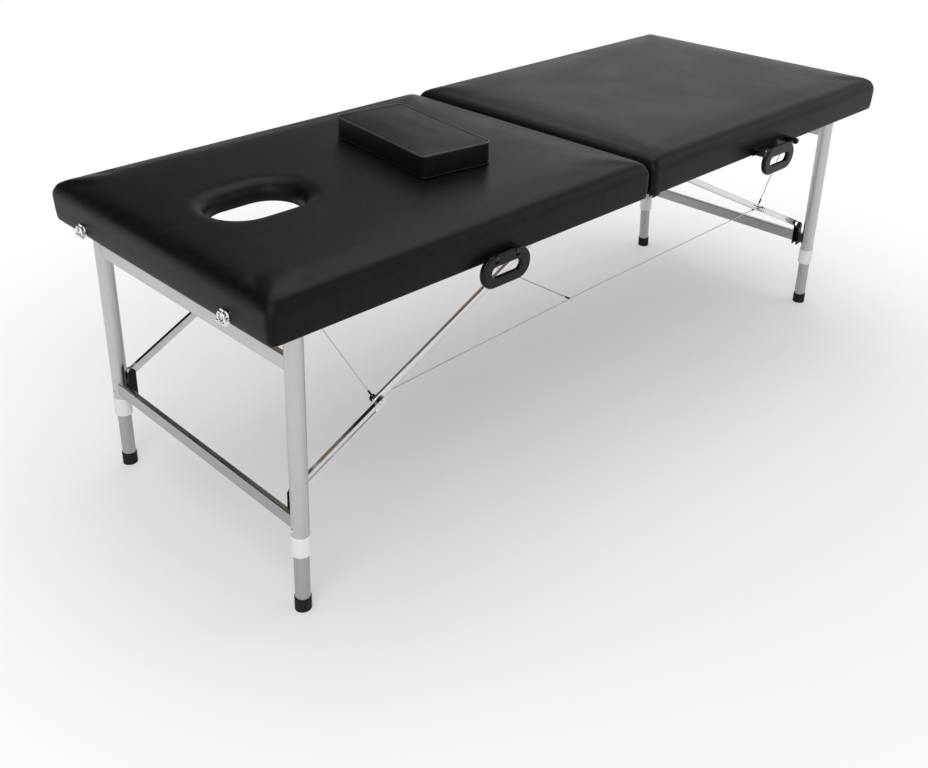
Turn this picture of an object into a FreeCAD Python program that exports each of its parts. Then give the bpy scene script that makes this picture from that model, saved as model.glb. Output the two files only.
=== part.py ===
"""Folding massage table: two hinged upholstered halves on folding, height-adjustable leg frames.

The origin is on the floor under the middle of the table. X runs along the table with the head
half at -X and the foot half at +X, the long side with the handles faces -Y, and Z is up.
All lengths are in millimetres and all angles in degrees.
"""

import FreeCAD, Part
import math
import os
import re
from collections import namedtuple

import Sketcher

SIZES = (
    ("half_length", 900.0, "hinge line to the outer end of each half"),
    ("table_width", 700.0, "width of both halves"),
    ("top_height", 630.0, "floor to the top of the padding"),
    ("half_gap", 3.5, "hinge line to the facing end of each half"),
    ("cushion_height", 31.0, "padding above the board"),
    ("board_thickness", 6.0, "plywood board under the padding"),
    ("rail_height", 42.0, "depth of the rail frame under the board"),
    ("rail_thickness", 15.0, "thickness of each rail"),
    ("cover_thickness", 3.0, "upholstery over the outside of the rails"),
    ("corner_radius", 14.0, "plan radius of the corners of each half"),
    ("edge_roll", 21.0, "radius of the rolled top edge"),
    ("crown", 3.0, "rise of the padding from its rolled edge to its middle"),
    ("crown_reach", 90.0, "distance from the rolled edge to the level middle"),
    ("crown_corner", 40.0, "plan radius of the level middle"),
    ("rim_tuck", 2.0, "how far the cover is drawn in at the lower rim"),
    ("tuck_height", 24.0, "height over which the cover is drawn in"),
    ("face_hole_inset", 217.0, "head end to the centre of the face hole"),
    ("face_hole_length", 176.0, "face hole along the table"),
    ("face_hole_width", 128.0, "face hole across the table"),
    ("face_hole_corner", 60.0, "corner radius of the face hole"),
    ("face_hole_roll", 14.0, "radius of the rolled rim of the face hole"),
    ("liner_wall", 5.0, "wall of the sleeve through the board"),
    ("hinge_drop", 2.0, "lower rim to the axis of the middle hinges"),
    ("hinge_knuckle_radius", 3.0, "outside radius of a hinge knuckle"),
    ("hinge_pin_radius", 1.6, "radius of a hinge pin"),
    ("hinge_leaf_width", 24.0, "hinge axis to the edge of a leaf"),
    ("hinge_leaf_thickness", 1.6, "sheet of a hinge leaf"),
    ("hinge_length", 66.0, "length of each hinge along its pin"),
    ("hinge_inset", 80.0, "long side of the table to an outer hinge"),
    ("hinge_end_gap", 0.4, "end play between knuckles"),
    ("running_clearance", 0.05, "radial clearance of pins and guides"),
    ("leg_end_inset", 68.0, "end of a half to the axis of its leg pivots"),
    ("leg_pivot_drop", 24.0, "board to the axis of the leg pivots"),
    ("leg_splay", 3.2, "outward lean of the legs"),
    ("head_leg_inset", 42.0, "long side of the table to a leg of the head frame"),
    ("foot_leg_inset", 80.0, "long side of the table to a leg of the foot frame, set further in"),
    ("leg_radius", 16.0, "outside radius of a leg tube"),
    ("leg_wall", 1.8, "wall of a leg tube"),
    ("leg_top", 12.0, "leg tube above its pivot"),
    ("leg_pin_radius", 4.0, "radius of a leg pivot pin"),
    ("bracket_sheet", 2.5, "sheet of the pivot brackets"),
    ("bracket_length", 56.0, "leg bracket along the table"),
    ("bracket_gap", 0.5, "leg tube to the cheeks of its bracket"),
    ("cheek_round", 13.0, "radius of a leg bracket's cheek round its pin"),
    ("pin_head", 2.0, "height of the heads of the pivot pins"),
    ("pin_head_rim", 2.5, "how far a pin head stands past its pin"),
    ("collar_place", 410.0, "leg pivot to the top of the collar"),
    ("collar_height", 40.0, "height of the collar"),
    ("collar_grip", 25.0, "length of leg tube inside the collar"),
    ("collar_wall", 1.6, "wall of the collar round the leg tube"),
    ("collar_chamfer", 1.0, "bevel at the ends of the collar"),
    ("leg_slack", 0.4, "sliding inner leg to the bore of the leg tube"),
    ("inner_leg_wall", 1.5, "wall of the inner leg"),
    ("inner_leg_length", 380.0, "length of the inner leg"),
    ("tip_wall", 1.5, "rubber round the inner leg"),
    ("tip_height", 26.0, "height of the rubber tip"),
    ("tip_floor", 10.0, "rubber under the inner leg"),
    ("leg_travel", 200.0, "height adjustment of the inner legs"),
    ("height_step", 25.0, "distance between the height holes"),
    ("button_place", 397.0, "leg pivot to the height button"),
    ("button_radius", 3.5, "radius of the height button"),
    ("button_proud", 1.8, "how far the height button stands out of the leg"),
    ("button_clearance", 0.3, "height button to its hole in the leg"),
    ("button_gap", 0.5, "height button to the inner leg"),
    ("bar_height", 28.0, "height of the crossbars"),
    ("bar_depth", 12.0, "depth of the crossbars"),
    ("bar_round", 3.0, "edge radius of the crossbars"),
    ("bar_offset", 5.0, "leg axis to the middle of a crossbar, outwards"),
    ("upper_bar_place", 84.0, "leg pivot to the upper crossbar"),
    ("lower_bar_place", 386.0, "leg pivot to the lower crossbar"),
    ("stay_anchor_place", 100.0, "hinge line to the upper end of the stays"),
    ("stay_bracket_place", 344.0, "leg pivot to the lower end of the stays"),
    ("stay_offset", 11.0, "leg axis to the lower end of the stays, inwards"),
    ("stay_width", 15.0, "width of the stays"),
    ("stay_thickness", 8.0, "thickness of the stays"),
    ("stay_channel", 9.0, "width of the channel rolled into the stays"),
    ("stay_channel_depth", 2.0, "depth of that channel"),
    ("stay_side", 30.0, "leg axis to the middle of a lower stay"),
    ("stay_clearance", 0.45, "side clearance of the stays"),
    ("stay_pin_radius", 3.0, "radius of the stay pins"),
    ("stay_overlap", 13.0, "lower stay past the elbow"),
    ("rivet_radius", 5.5, "radius of the elbow rivet's heads"),
    ("rivet_height", 1.8, "height of the elbow rivet's heads"),
    ("anchor_length", 40.0, "stay anchor along the table"),
    ("handle_place", 425.0, "hinge line to the middle of both handles"),
    ("handle_base_height", 16.0, "height of a handle base"),
    ("handle_base_thickness", 5.0, "thickness of a handle base"),
    ("handle_base_round", 7.5, "corner radius of a handle base"),
    ("handle_base_lift", 1.5, "lower rim to a handle base"),
    ("handle_width", 119.0, "width of a handle ring"),
    ("handle_height", 60.0, "height of a handle ring"),
    ("handle_thickness", 11.0, "thickness of a handle ring"),
    ("handle_ease", 4.0, "radius of the edges of a handle ring"),
    ("handle_band", 19.0, "lower edge of a hanging handle ring to its opening"),
    ("handle_opening_width", 71.0, "width of the opening in a handle ring"),
    ("handle_opening_height", 19.5, "height of the opening in a handle ring"),
    ("handle_pivot_lift", 10.5, "lower rim to the axis of the handles"),
    ("handle_stand_off", 7.0, "handle base to the axis of the head handle"),
    ("handle_plane_gap", 13.0, "how much further out the foot handle stands, to pass the head handle"),
    ("handle_pin_radius", 2.5, "radius of the handle pins"),
    ("handle_pin_depth", 6.0, "depth of a handle pin in the ring"),
    ("handle_lug", 9.0, "width of the lugs that carry a handle"),
    ("handle_side_gap", 0.5, "lug to handle ring"),
    ("head_handle_reach", 25.5, "middle of the head handle to the middle of its lugs"),
    ("foot_handle_reach", 66.0, "middle of the foot handle to the middle of its lugs"),
    ("latch_inset", 120.0, "long side of the table to each latch"),
    ("latch_width", 26.0, "width of a latch plate"),
    ("latch_height", 20.0, "height of a latch plate"),
    ("latch_sheet", 2.0, "sheet of the latch plates"),
    ("latch_lift", 1.0, "lower rim to a latch plate"),
    ("latch_pivot_lift", 2.5, "lower rim to the axis of the latches"),
    ("latch_stand_off", 5.5, "latch plate to the axis of the latches"),
    ("latch_wire", 2.0, "radius of the latch loop"),
    ("latch_eye_rim", 0.4, "how far the eyes of a latch loop stand past its arms"),
    ("latch_bend", 8.5, "radius of the bends of a latch loop"),
    ("latch_reach", 9.0, "middle of a latch loop to the middle of its side"),
    ("latch_rest", 1.0, "far bar of a closed latch loop to the catch hook"),
    ("latch_pin_radius", 1.5, "radius of a latch pin"),
    ("latch_lug", 4.0, "width of the lug that carries a latch"),
    ("hook_lift", 4.5, "lower rim to the catch hook"),
    ("hook_width", 6.0, "width of the catch hook"),
    ("hook_height", 3.0, "height of the catch hook"),
    ("hook_lip", 6.0, "height of the upturned end of the catch hook"),
    ("screw_radius", 4.0, "radius of the screw heads"),
    ("screw_head", 1.0, "height of the screw heads"),
    ("pillow_place", 311.0, "hinge line to the middle of the head pillow"),
    ("pillow_aside", 9.0, "long middle line to the middle of the head pillow"),
    ("pillow_length", 318.0, "head pillow across the table"),
    ("pillow_width", 158.0, "head pillow along the table"),
    ("pillow_height", 46.0, "height of the head pillow"),
    ("pillow_round", 9.0, "edge radius of the head pillow"),
    ("pillow_corner", 16.0, "plan radius of the head pillow's corners"),
    ("pillow_crown", 4.0, "rise of the head pillow to its middle"),
    ("pillow_turn", 8.0, "how far the head pillow is turned"),
    ("pillow_rest", 0.3, "pillow to the padding that it lies on"),
    ("cable_radius", 1.1, "radius of the bracing cables"),
    ("cable_side", 3.2, "upper stay to the bracing cables"),
    ("cable_anchor_inset", 32.0, "leg pivot to the upper end of a short cable, inwards"),
    ("cable_tie_place", 93.0, "hinge line to the cross cable, on the head side"),
)

ALIASES = {alias for alias, _, _ in SIZES}
Half = namedtuple("Half", "name side spread reach stand_off")
HEAD = Half("head", -1, "(table_width / 2 - head_leg_inset)", "head_handle_reach", "handle_stand_off")
FOOT = Half(
    "foot",
    1,
    "(table_width / 2 - foot_leg_inset)",
    "foot_handle_reach",
    "(handle_stand_off + handle_plane_gap)",
)
ENDS = (("front", -1), ("back", 1))

# Places and levels that several pieces share.
FACE_HOLE_PLACE = "(half_length - face_hole_inset)"
LEG_PLACE = "(half_length - leg_end_inset)"
LATCH_SPREAD = "(table_width / 2 - latch_inset)"
HINGE_SPACING = "(table_width / 2 - hinge_inset)"
CABLE_PLACE = f"({LEG_PLACE} - cable_anchor_inset)"
BOARD_TOP = "(top_height - cushion_height)"
BOARD_UNDER = f"({BOARD_TOP} - board_thickness)"
RIM = f"({BOARD_UNDER} - rail_height)"
HINGE_LEVEL = f"({RIM} - hinge_drop)"
LEG_LEVEL = f"({BOARD_UNDER} - leg_pivot_drop)"
STAY_LEVEL = f"({LEG_LEVEL} + stay_offset)"
LEG_REACH = f"({LEG_LEVEL} / cos(leg_splay))"
INNER_RADIUS = "(leg_radius - leg_wall - leg_slack)"
COLLAR_RADIUS = "(leg_radius + collar_wall)"
TIP_RADIUS = f"({INNER_RADIUS} + tip_wall)"

# The stays lie in one line when the legs stand and fold flat on themselves when they are put away.
BRACKET_PLACE = (
    f"({LEG_PLACE} + stay_bracket_place * sin(leg_splay) - stay_offset * cos(leg_splay))"
)
BRACKET_LEVEL = (
    f"({LEG_LEVEL} - stay_bracket_place * cos(leg_splay) - stay_offset * sin(leg_splay))"
)
STAY_RUN = f"({BRACKET_PLACE} - stay_anchor_place)"
STAY_FALL = f"({STAY_LEVEL} - {BRACKET_LEVEL})"
STAY_SPAN = f"sqrt({STAY_RUN} ^ 2 + {STAY_FALL} ^ 2)"
STAY_FOLDED = f"({LEG_PLACE} - stay_bracket_place - stay_anchor_place)"
UPPER_STAY = f"(({STAY_SPAN} + {STAY_FOLDED}) / 2)"
LOWER_STAY = f"(({STAY_SPAN} - {STAY_FOLDED}) / 2)"
STAY_SLOPE = f"atan({STAY_FALL} / {STAY_RUN})"
ELBOW_PLACE = f"(stay_anchor_place + {UPPER_STAY} * {STAY_RUN} / {STAY_SPAN})"
ELBOW_LEVEL = f"({STAY_LEVEL} - {UPPER_STAY} * {STAY_FALL} / {STAY_SPAN})"
STAY_PITCH = "(stay_thickness + 2 * stay_clearance + bracket_sheet)"

doc = FreeCAD.newDocument("folding_massage_table")
sheet = doc.addObject("Spreadsheet::Sheet", "Sizes")
for row, (alias, size, note) in enumerate(SIZES, start=1):
    sheet.set(f"A{row}", alias)
    sheet.set(f"B{row}", str(size))
    sheet.setAlias(f"B{row}", alias)
    sheet.set(f"C{row}", note)
doc.recompute()

nodes = {}


def tied(expression):
    """Write a formula over the named sizes as a formula over the sheet's cells."""
    return re.sub(
        r"[a-z_]+", lambda word: f"Sizes.{word[0]}" if word[0] in ALIASES else word[0], str(expression)
    )


def number(expression):
    """Work out the present value of a formula over the named sizes."""
    answer = sheet.evalExpression(tied(expression))
    return float(getattr(answer, "Value", answer))


def bind(item, **formulas):
    """Bind properties of an item to formulas over the named sizes."""
    for name, formula in formulas.items():
        item.setExpression(name, tied(formula))
    return item


def place(item, x=0, y=0, z=0):
    """Bind the position of an item."""
    for axis, formula in zip("xyz", (x, y, z)):
        item.setExpression(f"Placement.Base.{axis}", tied(formula))
    return item


def turn(item, axis, angle):
    """Bind the angle by which an item is turned about a fixed axis through its own origin."""
    item.Placement = FreeCAD.Placement(item.Placement.Base, FreeCAD.Rotation(axis, number(angle)))
    item.setExpression("Placement.Rotation.Angle", tied(angle))
    return item


def node(label, item):
    """Keep an item as a finished piece under its own name."""
    item.Label = label
    nodes[label] = item
    return item


def box(name, low, size):
    """A block from its lowest corner and its three sizes."""
    block = doc.addObject("Part::Box", name)
    bind(block, Length=size[0], Width=size[1], Height=size[2])
    return place(block, *low)


AXIS_TURNS = {
    "x": FreeCAD.Rotation(FreeCAD.Vector(0, 1, 0), 90),
    "y": FreeCAD.Rotation(FreeCAD.Vector(1, 0, 0), -90),
    "z": FreeCAD.Rotation(),
}


def rod(name, radius, length, start, axis="z"):
    """A round bar that runs from its start along a positive axis."""
    bar = doc.addObject("Part::Cylinder", name)
    bar.Placement = FreeCAD.Placement(FreeCAD.Vector(), AXIS_TURNS[axis])
    bind(bar, Radius=radius, Height=length)
    return place(bar, *start)


def fuse(name, *pieces):
    """Join pieces into one solid."""
    whole = doc.addObject("Part::MultiFuse", name)
    whole.Shapes = list(pieces)
    whole.Refine = True
    return whole


def cut(name, base, *tools):
    """Take one or more tools away from a piece."""
    whole = doc.addObject("Part::Cut", name)
    whole.Base = base
    whole.Tool = tools[0] if len(tools) == 1 else fuse(f"{name}_tools", *tools)
    return whole


def common(name, first, second):
    """Keep what two pieces share."""
    whole = doc.addObject("Part::MultiCommon", name)
    whole.Shapes = [first, second]
    return whole


def group(name, *pieces):
    """Hold like pieces together as separate solids."""
    bundle = doc.addObject("Part::Compound", name)
    bundle.Links = list(pieces)
    return bundle


def softened(name, base, radius, direction):
    """Round the straight edges of a piece that run along a direction."""
    doc.recompute()
    size = number(radius)
    edges = []
    for index, edge in enumerate(base.Shape.Edges, start=1):
        run = edge.lastVertex().Point.sub(edge.firstVertex().Point)
        straight = isinstance(edge.Curve, Part.Line)
        if straight and run.Length > 0 and abs(abs(run.dot(direction)) - run.Length) < 1e-6 * run.Length:
            edges.append((index, size, size))
    rounded = doc.addObject("Part::Fillet", name)
    rounded.Base = base
    rounded.Edges = edges
    return rounded


def eased(name, base, radius, direction):
    """Round every edge of a piece except the straight ones that run along a direction."""
    doc.recompute()
    size = number(radius)
    edges = []
    for index, edge in enumerate(base.Shape.Edges, start=1):
        run = edge.lastVertex().Point.sub(edge.firstVertex().Point)
        straight = isinstance(edge.Curve, Part.Line)
        if not straight or abs(run.dot(direction)) < 1e-6 * run.Length:
            edges.append((index, size, size))
    rounded = doc.addObject("Part::Fillet", name)
    rounded.Base = base
    rounded.Edges = edges
    return rounded


def along(half, near, far):
    """Low end and length in X of a stretch between two distances from the hinge line."""
    low = f"({near})" if half.side > 0 else f"-({far})"
    return low, f"(({far}) - ({near}))"


def across(sign, near, far):
    """Low end and length in Y of a stretch between two distances from the middle line."""
    low = f"({near})" if sign > 0 else f"-({far})"
    return low, f"(({far}) - ({near}))"


SKETCH_TURNS = {
    "level": FreeCAD.Rotation(),
    "upright": FreeCAD.Rotation(FreeCAD.Vector(1, 0, 0), 90),
}


def rounded_outline(name, low, high, radius, seat=(0, 0, 0), stance="level"):
    """Sketch a rectangle with rounded corners, lying level or standing up facing -Y."""
    sketch = doc.addObject("Sketcher::SketchObject", name)
    sketch.Placement = FreeCAD.Placement(FreeCAD.Vector(), SKETCH_TURNS[stance])
    place(sketch, *seat)
    west, south = number(low[0]), number(low[1])
    east, north = number(high[0]), number(high[1])
    bend = number(radius)
    corners = (
        (east - bend, south + bend, -90),
        (east - bend, north - bend, 0),
        (west + bend, north - bend, 90),
        (west + bend, south + bend, 180),
    )
    sides = (
        ((west + bend, south), (east - bend, south)),
        ((east, south + bend), (east, north - bend)),
        ((east - bend, north), (west + bend, north)),
        ((west, north - bend), (west, south + bend)),
    )
    up = FreeCAD.Vector(0, 0, 1)
    for (start, end), (x, y, angle) in zip(sides, corners):
        sketch.addGeometry(Part.LineSegment(FreeCAD.Vector(*start, 0), FreeCAD.Vector(*end, 0)))
        circle = Part.Circle(FreeCAD.Vector(x, y, 0), up, bend)
        sketch.addGeometry(Part.ArcOfCircle(circle, math.radians(angle), math.radians(angle + 90)))
    count = 2 * len(sides)
    for index in range(count):
        sketch.addConstraint(Sketcher.Constraint("Tangent", index, 2, (index + 1) % count, 1))
    for index in (0, 4):
        sketch.addConstraint(Sketcher.Constraint("Horizontal", index))
        sketch.addConstraint(Sketcher.Constraint("Vertical", index + 2))
    for index in (3, 5, 7):
        sketch.addConstraint(Sketcher.Constraint("Equal", 1, index))
    limits = (
        ("west", "DistanceX", 6, low[0], west),
        ("east", "DistanceX", 2, high[0], east),
        ("south", "DistanceY", 0, low[1], south),
        ("north", "DistanceY", 4, high[1], north),
    )
    for title, kind, index, formula, present in limits:
        mark = sketch.addConstraint(Sketcher.Constraint(kind, -1, 1, index, 1, present))
        sketch.renameConstraint(mark, title)
        sketch.setExpression(f"Constraints.{title}", tied(formula))
    mark = sketch.addConstraint(Sketcher.Constraint("Radius", 1, bend))
    sketch.renameConstraint(mark, "bend")
    sketch.setExpression("Constraints.bend", tied(radius))
    return sketch


def prism(name, outline, direction, length):
    """Extrude a closed outline."""
    solid = doc.addObject("Part::Extrusion", name)
    solid.Base = outline
    solid.DirMode = "Custom"
    solid.Dir = direction
    solid.Solid = True
    return bind(solid, LengthFwd=length)


def loft(name, outlines):
    """Skin a row of outlines into one solid."""
    solid = doc.addObject("Part::Loft", name)
    solid.Sections = outlines
    solid.Solid = True
    solid.Ruled = True
    return solid


def turned(name, profile):
    """A body turned about Z from a closed profile of (radius, level) points."""
    body = doc.addObject("PartDesign::Body", name)
    sketch = body.newObject("Sketcher::SketchObject", f"{name}_profile")
    upright = next(item for item in body.Origin.OriginFeatures if item.Role == "XZ_Plane")
    sketch.AttachmentSupport = [(upright, "")]
    sketch.MapMode = "FlatFace"
    points = [FreeCAD.Vector(number(radius), number(level), 0) for radius, level in profile]
    count = len(points)
    for index in range(count):
        sketch.addGeometry(Part.LineSegment(points[index], points[(index + 1) % count]))
    for index in range(count):
        sketch.addConstraint(Sketcher.Constraint("Coincident", index, 2, (index + 1) % count, 1))
    for index, (radius, level) in enumerate(profile):
        if str(radius) == "0":
            sketch.addConstraint(Sketcher.Constraint("PointOnObject", index, 1, -2))
        else:
            mark = sketch.addConstraint(
                Sketcher.Constraint("DistanceX", -1, 1, index, 1, points[index].x)
            )
            sketch.renameConstraint(mark, f"radius_{index}")
            sketch.setExpression(f"Constraints.radius_{index}", tied(radius))
        mark = sketch.addConstraint(Sketcher.Constraint("DistanceY", -1, 1, index, 1, points[index].y))
        sketch.renameConstraint(mark, f"level_{index}")
        sketch.setExpression(f"Constraints.level_{index}", tied(level))
    spin = body.newObject("PartDesign::Revolution", f"{name}_spin")
    spin.Profile = sketch
    spin.ReferenceAxis = (sketch, ["V_Axis"])
    spin.Angle = 360.0
    return body


def cushion(half):
    """Padded top of one half: tucked rim, straight sides, rolled edge and a slight crown."""
    roll_steps = 4
    roll_foot = "top_height - crown - edge_roll"
    layers = [
        ("rim_tuck", RIM, "corner_radius"),
        ("rim_tuck * 0.25", f"{RIM} + tuck_height / 2", "corner_radius"),
        ("0", f"{RIM} + tuck_height", "corner_radius"),
    ]
    for step in range(roll_steps + 1):
        angle = 85.0 * step / roll_steps
        inset = f"edge_roll * (1 - cos({angle}))"
        layers.append((inset, f"{roll_foot} + edge_roll * sin({angle})", "corner_radius"))
    layers.append(("edge_roll + crown_reach / 3", "top_height - crown * 0.4", "crown_corner"))
    layers.append(("edge_roll + crown_reach", "top_height", "crown_corner"))
    outlines = []
    for index, (inset, level, bend) in enumerate(layers):
        low, length = along(half, f"half_gap + {inset}", f"half_length - ({inset})")
        outlines.append(
            rounded_outline(
                f"{half.name}_cushion_layer_{index}",
                (low, f"-(table_width / 2 - ({inset}))"),
                (f"{low} + {length}", f"table_width / 2 - ({inset})"),
                bend,
                (0, 0, level),
            )
        )
    return loft(f"{half.name}_cushion_form", outlines)


def frame_outline(name, half, level):
    """Outline of the board and the rails, inside the upholstery."""
    low, length = along(half, "half_gap + cover_thickness", "half_length - cover_thickness")
    return rounded_outline(
        name,
        (low, "-(table_width / 2 - cover_thickness)"),
        (f"{low} + {length}", "table_width / 2 - cover_thickness"),
        "corner_radius - cover_thickness",
        (0, 0, level),
    )


UPWARDS = FreeCAD.Vector(0, 0, 1)


def face_hole_outline(name, half, growth, level):
    """Outline of the face hole, grown by an amount, at a level."""
    low, length = along(
        half,
        f"{FACE_HOLE_PLACE} - face_hole_length / 2 - ({growth})",
        f"{FACE_HOLE_PLACE} + face_hole_length / 2 + ({growth})",
    )
    return rounded_outline(
        name,
        (low, f"-(face_hole_width / 2 + ({growth}))"),
        (f"{low} + {length}", f"face_hole_width / 2 + ({growth})"),
        f"face_hole_corner + ({growth})",
        (0, 0, level),
    )


def face_hole_tool(half):
    """The space of the face hole through the padding, with its rolled rim."""
    flares = (0, 30, 60, 85)
    rim_foot = "top_height - face_hole_roll"
    layers = [("0", f"{BOARD_TOP} - 1")]
    for angle in flares:
        growth = f"face_hole_roll * (1 - cos({angle}))"
        layers.append((growth, f"{rim_foot} + face_hole_roll * sin({angle})"))
    layers.append(("face_hole_roll * 1.6", "top_height + 1"))
    outlines = [
        face_hole_outline(f"face_hole_layer_{index}", half, growth, level)
        for index, (growth, level) in enumerate(layers)
    ]
    return loft("face_hole_space", outlines)


def build_half_top(half):
    """Padding, board and rails of one half."""
    hollow = prism(
        f"{half.name}_cushion_hollow",
        frame_outline(f"{half.name}_hollow_outline", half, f"{RIM} - 1"),
        UPWARDS,
        f"{BOARD_TOP} - {RIM} + 1",
    )
    tools = [hollow]
    board = prism(
        f"{half.name}_board_blank",
        frame_outline(f"{half.name}_board_outline", half, BOARD_UNDER),
        UPWARDS,
        "board_thickness",
    )
    if half is HEAD:
        tools.append(face_hole_tool(half))
        sleeve_space = prism(
            "board_hole_space",
            face_hole_outline("board_hole_outline", half, "liner_wall", f"{BOARD_UNDER} - 1"),
            UPWARDS,
            "board_thickness + 2",
        )
        board = cut("head_board_cut", board, sleeve_space)
        sleeve = prism(
            "liner_blank",
            face_hole_outline("liner_outline", half, "liner_wall", BOARD_UNDER),
            UPWARDS,
            "board_thickness",
        )
        sleeve_bore = prism(
            "liner_bore",
            face_hole_outline("liner_bore_outline", half, "0", f"{BOARD_UNDER} - 1"),
            UPWARDS,
            "board_thickness + 2",
        )
        node("face_hole_liner", cut("face_hole_liner_cut", sleeve, sleeve_bore))
    node(f"{half.name}_cushion", cut(f"{half.name}_cushion_cut", cushion(half), *tools))
    node(f"{half.name}_board", board)
    build_rails(half)


def build_rails(half):
    """Two long rails and two cross rails under the board, trimmed to the rounded outline."""
    near = "half_gap + cover_thickness"
    far = "half_length - cover_thickness"
    half_width = "(table_width / 2 - cover_thickness)"
    clear_width = f"({half_width} - rail_thickness)"
    blanks = []
    low, length = along(half, near, far)
    for end, sign in ENDS:
        start, depth = across(sign, clear_width, half_width)
        blanks.append((end, (low, start, RIM), (length, depth, "rail_height")))
    stretches = (
        ("centre", near, f"{near} + rail_thickness"),
        ("end", f"{far} - rail_thickness", far),
    )
    for title, start, stop in stretches:
        low, length = along(half, start, stop)
        blanks.append((title, (low, f"-{clear_width}", RIM), (length, f"2 * {clear_width}", "rail_height")))
    rails = []
    for title, corner, size in blanks:
        name = f"{half.name}_{title}_rail"
        outline = frame_outline(f"{name}_outline", half, RIM)
        limit = prism(f"{name}_limit", outline, UPWARDS, "rail_height")
        rails.append(common(name, box(f"{name}_blank", corner, size), limit))
    node(f"{half.name}_rails", group(f"{half.name}_rail_set", *rails))


HINGE_ROWS = (f"-{HINGE_SPACING}", "0", HINGE_SPACING)


def hinge_leaf(half, row, middle):
    """One leaf of a middle hinge; the head leaf has the two outer knuckles, the foot leaf the middle one."""
    name = f"{half.name}_leaf_{row}"
    third = "(hinge_length / 3)"
    wide = f"({third} - hinge_end_gap)"
    if half is HEAD:
        starts = (f"{middle} - hinge_length / 2", f"{middle} + hinge_length / 6 + hinge_end_gap")
    else:
        starts = (f"{middle} - hinge_length / 6 + hinge_end_gap / 2",)
    low, length = along(half, "hinge_knuckle_radius + hinge_end_gap", "hinge_leaf_width")
    level = f"{RIM} - hinge_leaf_thickness"
    pieces = [
        box(f"{name}_sheet", (low, f"{middle} - hinge_length / 2", level),
            (length, "hinge_length", "hinge_leaf_thickness"))
    ]
    for index, start in enumerate(starts):
        low, length = along(half, "0", "hinge_knuckle_radius + hinge_end_gap")
        pieces.append(
            box(f"{name}_tab_{index}", (low, start, level), (length, wide, "hinge_leaf_thickness"))
        )
        pieces.append(
            rod(f"{name}_knuckle_{index}", "hinge_knuckle_radius", wide, (0, start, HINGE_LEVEL), "y")
        )
    clearance = "0" if half is HEAD else "running_clearance"
    bore = rod(
        f"{name}_bore",
        f"hinge_pin_radius + {clearance}",
        "hinge_length + 2",
        (0, f"{middle} - hinge_length / 2 - 1", HINGE_LEVEL),
        "y",
    )
    return cut(name, fuse(f"{name}_solid", *pieces), bore)


def hinge_pin(row, middle):
    """Pin of a middle hinge, held by the head leaf."""
    start = (0, f"{middle} - hinge_length / 2", HINGE_LEVEL)
    return rod(f"hinge_pin_{row}", "hinge_pin_radius", "hinge_length", start, "y")


def clevis(name, x, y, level, drop, gap, length, cheek_round, pin_radius):
    """Pressed bracket under a board: a plate and two cheeks that hold a pin across Y."""
    width = f"({gap} + 2 * bracket_sheet)"
    plate = box(
        f"{name}_plate",
        (f"{x} - ({length}) / 2", f"{y} - {width} / 2", f"{level} - bracket_sheet"),
        (length, width, "bracket_sheet"),
    )
    pieces = [plate]
    axis_level = f"{level} - ({drop})"
    for sign in (-1, 1):
        start, depth = across(sign, f"({gap}) / 2", f"{width} / 2")
        title = f"{name}_cheek_{'outer' if sign > 0 else 'inner'}"
        pieces.append(
            box(
                title,
                (f"{x} - ({cheek_round})", f"{y} + {start}", axis_level),
                (f"2 * ({cheek_round})", depth, drop),
            )
        )
        pieces.append(rod(f"{title}_round", cheek_round, depth, (x, f"{y} + {start}", axis_level), "y"))
    bore = rod(f"{name}_bore", pin_radius, f"{width} + 2", (x, f"{y} - {width} / 2 - 1", axis_level), "y")
    return cut(name, fuse(f"{name}_solid", *pieces), bore)


def headed_pin(name, x, y, level, grip, radius):
    """Pin across Y with a head at each end of its grip."""
    shank = rod(f"{name}_shank", radius, grip, (x, f"{y} - ({grip}) / 2", level), "y")
    starts = {"inner": f"{y} - ({grip}) / 2 - pin_head", "outer": f"{y} + ({grip}) / 2"}
    wide = f"{radius} + pin_head_rim"
    heads = [
        rod(f"{name}_{title}_head", wide, "pin_head", (x, start, level), "y")
        for title, start in starts.items()
    ]
    return fuse(name, shank, *heads)


def stay_middle(half, sign, which):
    """Distance in Y of the middle of an upper or lower stay."""
    shift = f"stay_side + {STAY_PITCH}" if which == "upper" else "stay_side"
    return f"({sign} * ({half.spread} - ({shift})))"


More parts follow.
